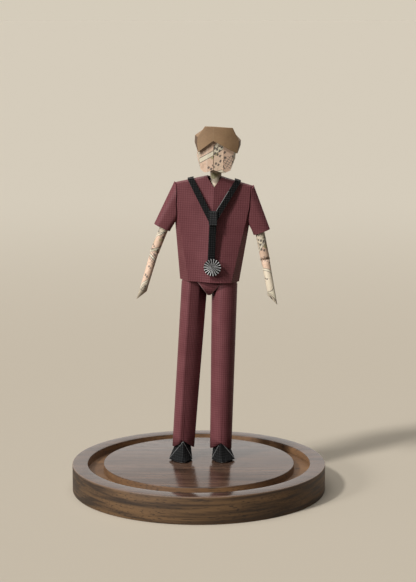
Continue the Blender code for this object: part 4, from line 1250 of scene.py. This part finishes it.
def show_upper_edge(bm):
    """Show the core along the upper long edge of a strap's front."""
    sheet = max(bm.faces, key=lambda face: face.calc_area() * (face.normal.y < STRAP_FACING))
    longest = sorted(sheet.edges, key=lambda edge: edge.calc_length())[-2:]
    upper = max(longest, key=lambda edge: (edge.verts[0].co + edge.verts[1].co).z)
    near, far = (vert.co.copy() for vert in upper.verts)
    show_core(bm, sheet, near, far, STRAP_LINE)


def cut_strip(node, body):
    bm = upright_copy(node)
    if "left" in node:
        show_upper_edge(bm)
    if body == "stethoscope_drop":
        swell(bm, STRIP_SWELL)
        for vert in bm.verts:
            if vert.co.z > STRIP_MIDDLE:
                vert.co += STRIP_TUCK
            else:
                vert.co.y += STRIP_BACK
    soften_folds(bm, STRAP_FOLD, STRAP_FOLD_FROM)
    lay_flat(bm, STRAP_START)
    name = node.replace("stethoscope", "paper")
    piece(name, bm, [BLACK, BLACK_EDGE], body, [node])


for node, body in STRIPS.items():
    cut_strip(node, body)

# %% Wrap the tab
WRAP_STEP, WRAP_DEPTH = 0.55 * MM, 0.10 * MM
TAB_FOLD, TAB_FOLD_FROM = 0.08 * MM, math.radians(30)
TAB_SWELL = Vector((1.18, 1, 1.15))
TAB_LOW, TAB_LEAN, TAB_START = 142.6 * MM, 0.265, (5, 3)


def wrap_tab(node):
    bm = upright_copy(node)
    for face in bm.faces:
        face.material_index = PAPER_SIDE
    swell(bm, TAB_SWELL)
    slice_up(bm, UP, WRAP_STEP)
    middle = middle_of(bm)
    for vert in bm.verts:
        out = math.copysign(WRAP_DEPTH, vert.co.y - middle.y)
        vert.co.y += out * (-1) ** round(vert.co.z / WRAP_STEP)
        vert.co.y += TAB_LEAN * max(0, vert.co.z - TAB_LOW)
    soften_folds(bm, TAB_FOLD, TAB_FOLD_FROM)
    lay_flat(bm, TAB_START)
    piece("paper_tab", bm, [WRAPPED, BLACK_EDGE], "stand", [node])


wrap_tab("stethoscope_clasp")

# %% Pleat the rosette
PLEATS = 18
PLEAT_RINGS = (0.12, 0.36, 0.98)
PLEAT_DEPTH, ROSETTE_PAPER = 0.7 * MM, 0.14 * MM
HUB_WORN, ROSETTE_START = 0.5, (70, 0)


def pleat_rosette():
    low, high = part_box("stethoscope_rosette")
    middle = to_figure @ ((low + high) / 2)
    radius = (high.z - low.z) / 2
    bm = bmesh.new()
    fold = bm.loops.layers.float.new("fold")
    spoke = [bm.verts.new((radius * share, 0, 0)) for share in PLEAT_RINGS]
    edges = [bm.edges.new(pair) for pair in zip(spoke, spoke[1:])]
    bmesh.ops.spin(bm, geom=spoke + edges, cent=(0, 0, 0), axis=BACK, angle=math.tau,
                   steps=2 * PLEATS, use_merge=True)
    rim = [edge for edge in bm.edges if edge.is_boundary]
    inner = [edge for edge in rim if edge.verts[0].co.length < radius / 2]
    hub = bmesh.ops.edgeloop_fill(bm, edges=inner)["faces"]
    ridge = {}
    for vert in bm.verts:
        turn = round(math.atan2(vert.co.z, vert.co.x) / math.pi * PLEATS)
        ridge[vert] = 1.0 - turn % 2
        vert.co.y = vert.co.length / radius * PLEAT_DEPTH * (1 if turn % 2 else -1)
    bmesh.ops.recalc_face_normals(bm, faces=bm.faces)
    # The ridges are marked as folds, so they take the pale colour: wear and painted highlight.
    for face in bm.faces:
        for loop in face.loops:
            loop[fold] = HUB_WORN if face in hub else ridge[loop.vert]
    bm.transform(Matrix.Translation(middle + BACK * STRIP_BACK))
    lay_flat(bm, ROSETTE_START)
    rosette = piece("pleated_rosette", bm, [PLEATED, BLACK_EDGE], "stethoscope_drop",
                    ["stethoscope_rosette"])
    paper_wall(rosette, ROSETTE_PAPER, even=False)


pleat_rosette()

# %% [markdown]
# ## Inside the figure
#
# Two bamboo rods and two card blocks carry the paper. They barely show, so the rods stay as they
# are and get a finish. The block in the shirt is made a little thinner, to leave room for the
# dished front, and the block in the head is cut down under the crown.

# %% Finish the rods and blocks
BLOCK_DEPTH, BLOCK_TOP = 0.8, 196 * MM
BLOCKS = (("inner_block", "body_block", "stand"), ("head_core", "head_block", "head"))

for node in ("left_leg_rod", "right_leg_rod"):
    solid = frame["nodes"][node]
    solid.data.materials.clear()
    solid.data.materials.append(BAMBOO)
for name, node, body in BLOCKS:
    block = upright_copy(node)
    for vert in block.verts:
        if body == "stand":
            vert.co.y *= BLOCK_DEPTH
        elif vert.co.z > BLOCK_TOP:
            vert.co.z += crown(vert.co)
    lay_flat(block)
    piece(name, block, [CARD], body, [node])

# %% [markdown]
# ## Floor, light and camera
#
# The figure stands on a plain beige sweep that grows paler into the distance. A wide floor in the
# sweep's colour catches the shadow, and the world takes over at the horizon in the same colour. The
# key is a sun with a small soft disc from the left and front, a wider one stands for a window on
# the left, and a third one from above stands for the ceiling. Light Path keeps the pale floor and
# the pale room for the camera and for reflections, and sends little of them to the paper as fill.
# The wall that the stand's top mirrors is brighter higher up.

# %% The floor
FLOOR_SIZE, FLOOR_ROUGHNESS, FLOOR_GLOSS = 60, 0.9, 0.1
SWEEP_NEAR, SWEEP_FAR = rgb(0.552, 0.484, 0.385), rgb(0.655, 0.592, 0.487)
SWEEP_REACH = (0.3, 1.6)
FLOOR_FILL = rgb(0.13, 0.115, 0.095)


def beige_sweep(start):
    away = start.node("ShaderNodeTexCoord", {}, {}, "Object").vector("LENGTH").other("Value")
    sweep = away.step(*SWEEP_REACH).mix(SWEEP_NEAR, SWEEP_FAR)
    path = start.node("ShaderNodeLightPath", {}, {}, "Is Camera Ray")
    seen = path.math("MAXIMUM", path.other("Is Glossy Ray"))
    return seen.mix(FLOOR_FILL, sweep), FLOOR_ROUGHNESS, None, None


sheet = bmesh.new()
bmesh.ops.create_grid(sheet, x_segments=1, y_segments=1, size=FLOOR_SIZE)
floor = set_down("floor", sheet, [finish("beige sweep", beige_sweep, FLOOR_GLOSS)])

# %% The lights
SUNS = {"key": (48.5, 42, 0.57, 6), "window": (49.5, 21, 0.41, 12), "ceiling": (52, 80, 0.45, 60)}


def hang_sun(name, aside, height, level, spread):
    """A sun at degrees left of the front and above the floor, by its level on a facing white."""
    lamp = bpy.data.lights.new(name, "SUN")
    lamp.energy = math.pi * level
    lamp.angle = math.radians(spread)
    obj = bpy.data.objects.new(name, lamp)
    obj.rotation_euler = (math.radians(90 - height), 0, math.radians(-aside))
    bpy.context.scene.collection.objects.link(obj)
    print("sun:", name, "at a level of", level)


for name, place in SUNS.items():
    hang_sun(name, *place)

# %% The room
BACKDROP = rgb(0.665, 0.604, 0.497)
WALL_LOW, WALL_HIGH = rgb(0.79, 0.747, 0.709), rgb(1.0, 0.945, 0.898)
WALL_RISE, WALL_TURN = (0.245, 0.285), (-0.2, 0.6)
ROOM_FRONT, ROOM_FILL = rgb(0.09, 0.088, 0.084), rgb(0.04, 0.04, 0.041)

world = bpy.data.worlds.new("studio")
bpy.context.scene.world = world
world.use_nodes = True
room = Wire(world.node_tree)
_, away, rise = room.node("ShaderNodeTexCoord", {}, {}, "Generated").split()
wall = rise.step(*WALL_RISE).mix(WALL_LOW, WALL_HIGH)
mirrored = away.step(*WALL_TURN).mix(ROOM_FRONT, wall)
path = room.node("ShaderNodeLightPath", {}, {}, "Is Camera Ray")
fill = path.other("Is Glossy Ray").mix(ROOM_FILL, mirrored)
shade = path.mix(fill, BACKDROP)
room.plug(world.node_tree.nodes["Background"], {"Color": shade})
print("room:", len(world.node_tree.nodes), "nodes")

# %% The camera
LENS, CAMERA_AT, CAMERA_TILT = 103.4, (0.00545, -0.9647, 0.2794), math.radians(80.54)

camera = bpy.data.objects.new("camera", bpy.data.cameras.new("camera"))
camera.data.lens = LENS
camera.location = CAMERA_AT
camera.rotation_euler = (CAMERA_TILT, 0, 0)
bpy.context.scene.collection.objects.link(camera)
bpy.context.scene.camera = camera
bpy.context.scene.view_settings.view_transform = "Standard"
print("camera at", tuple(camera.location))
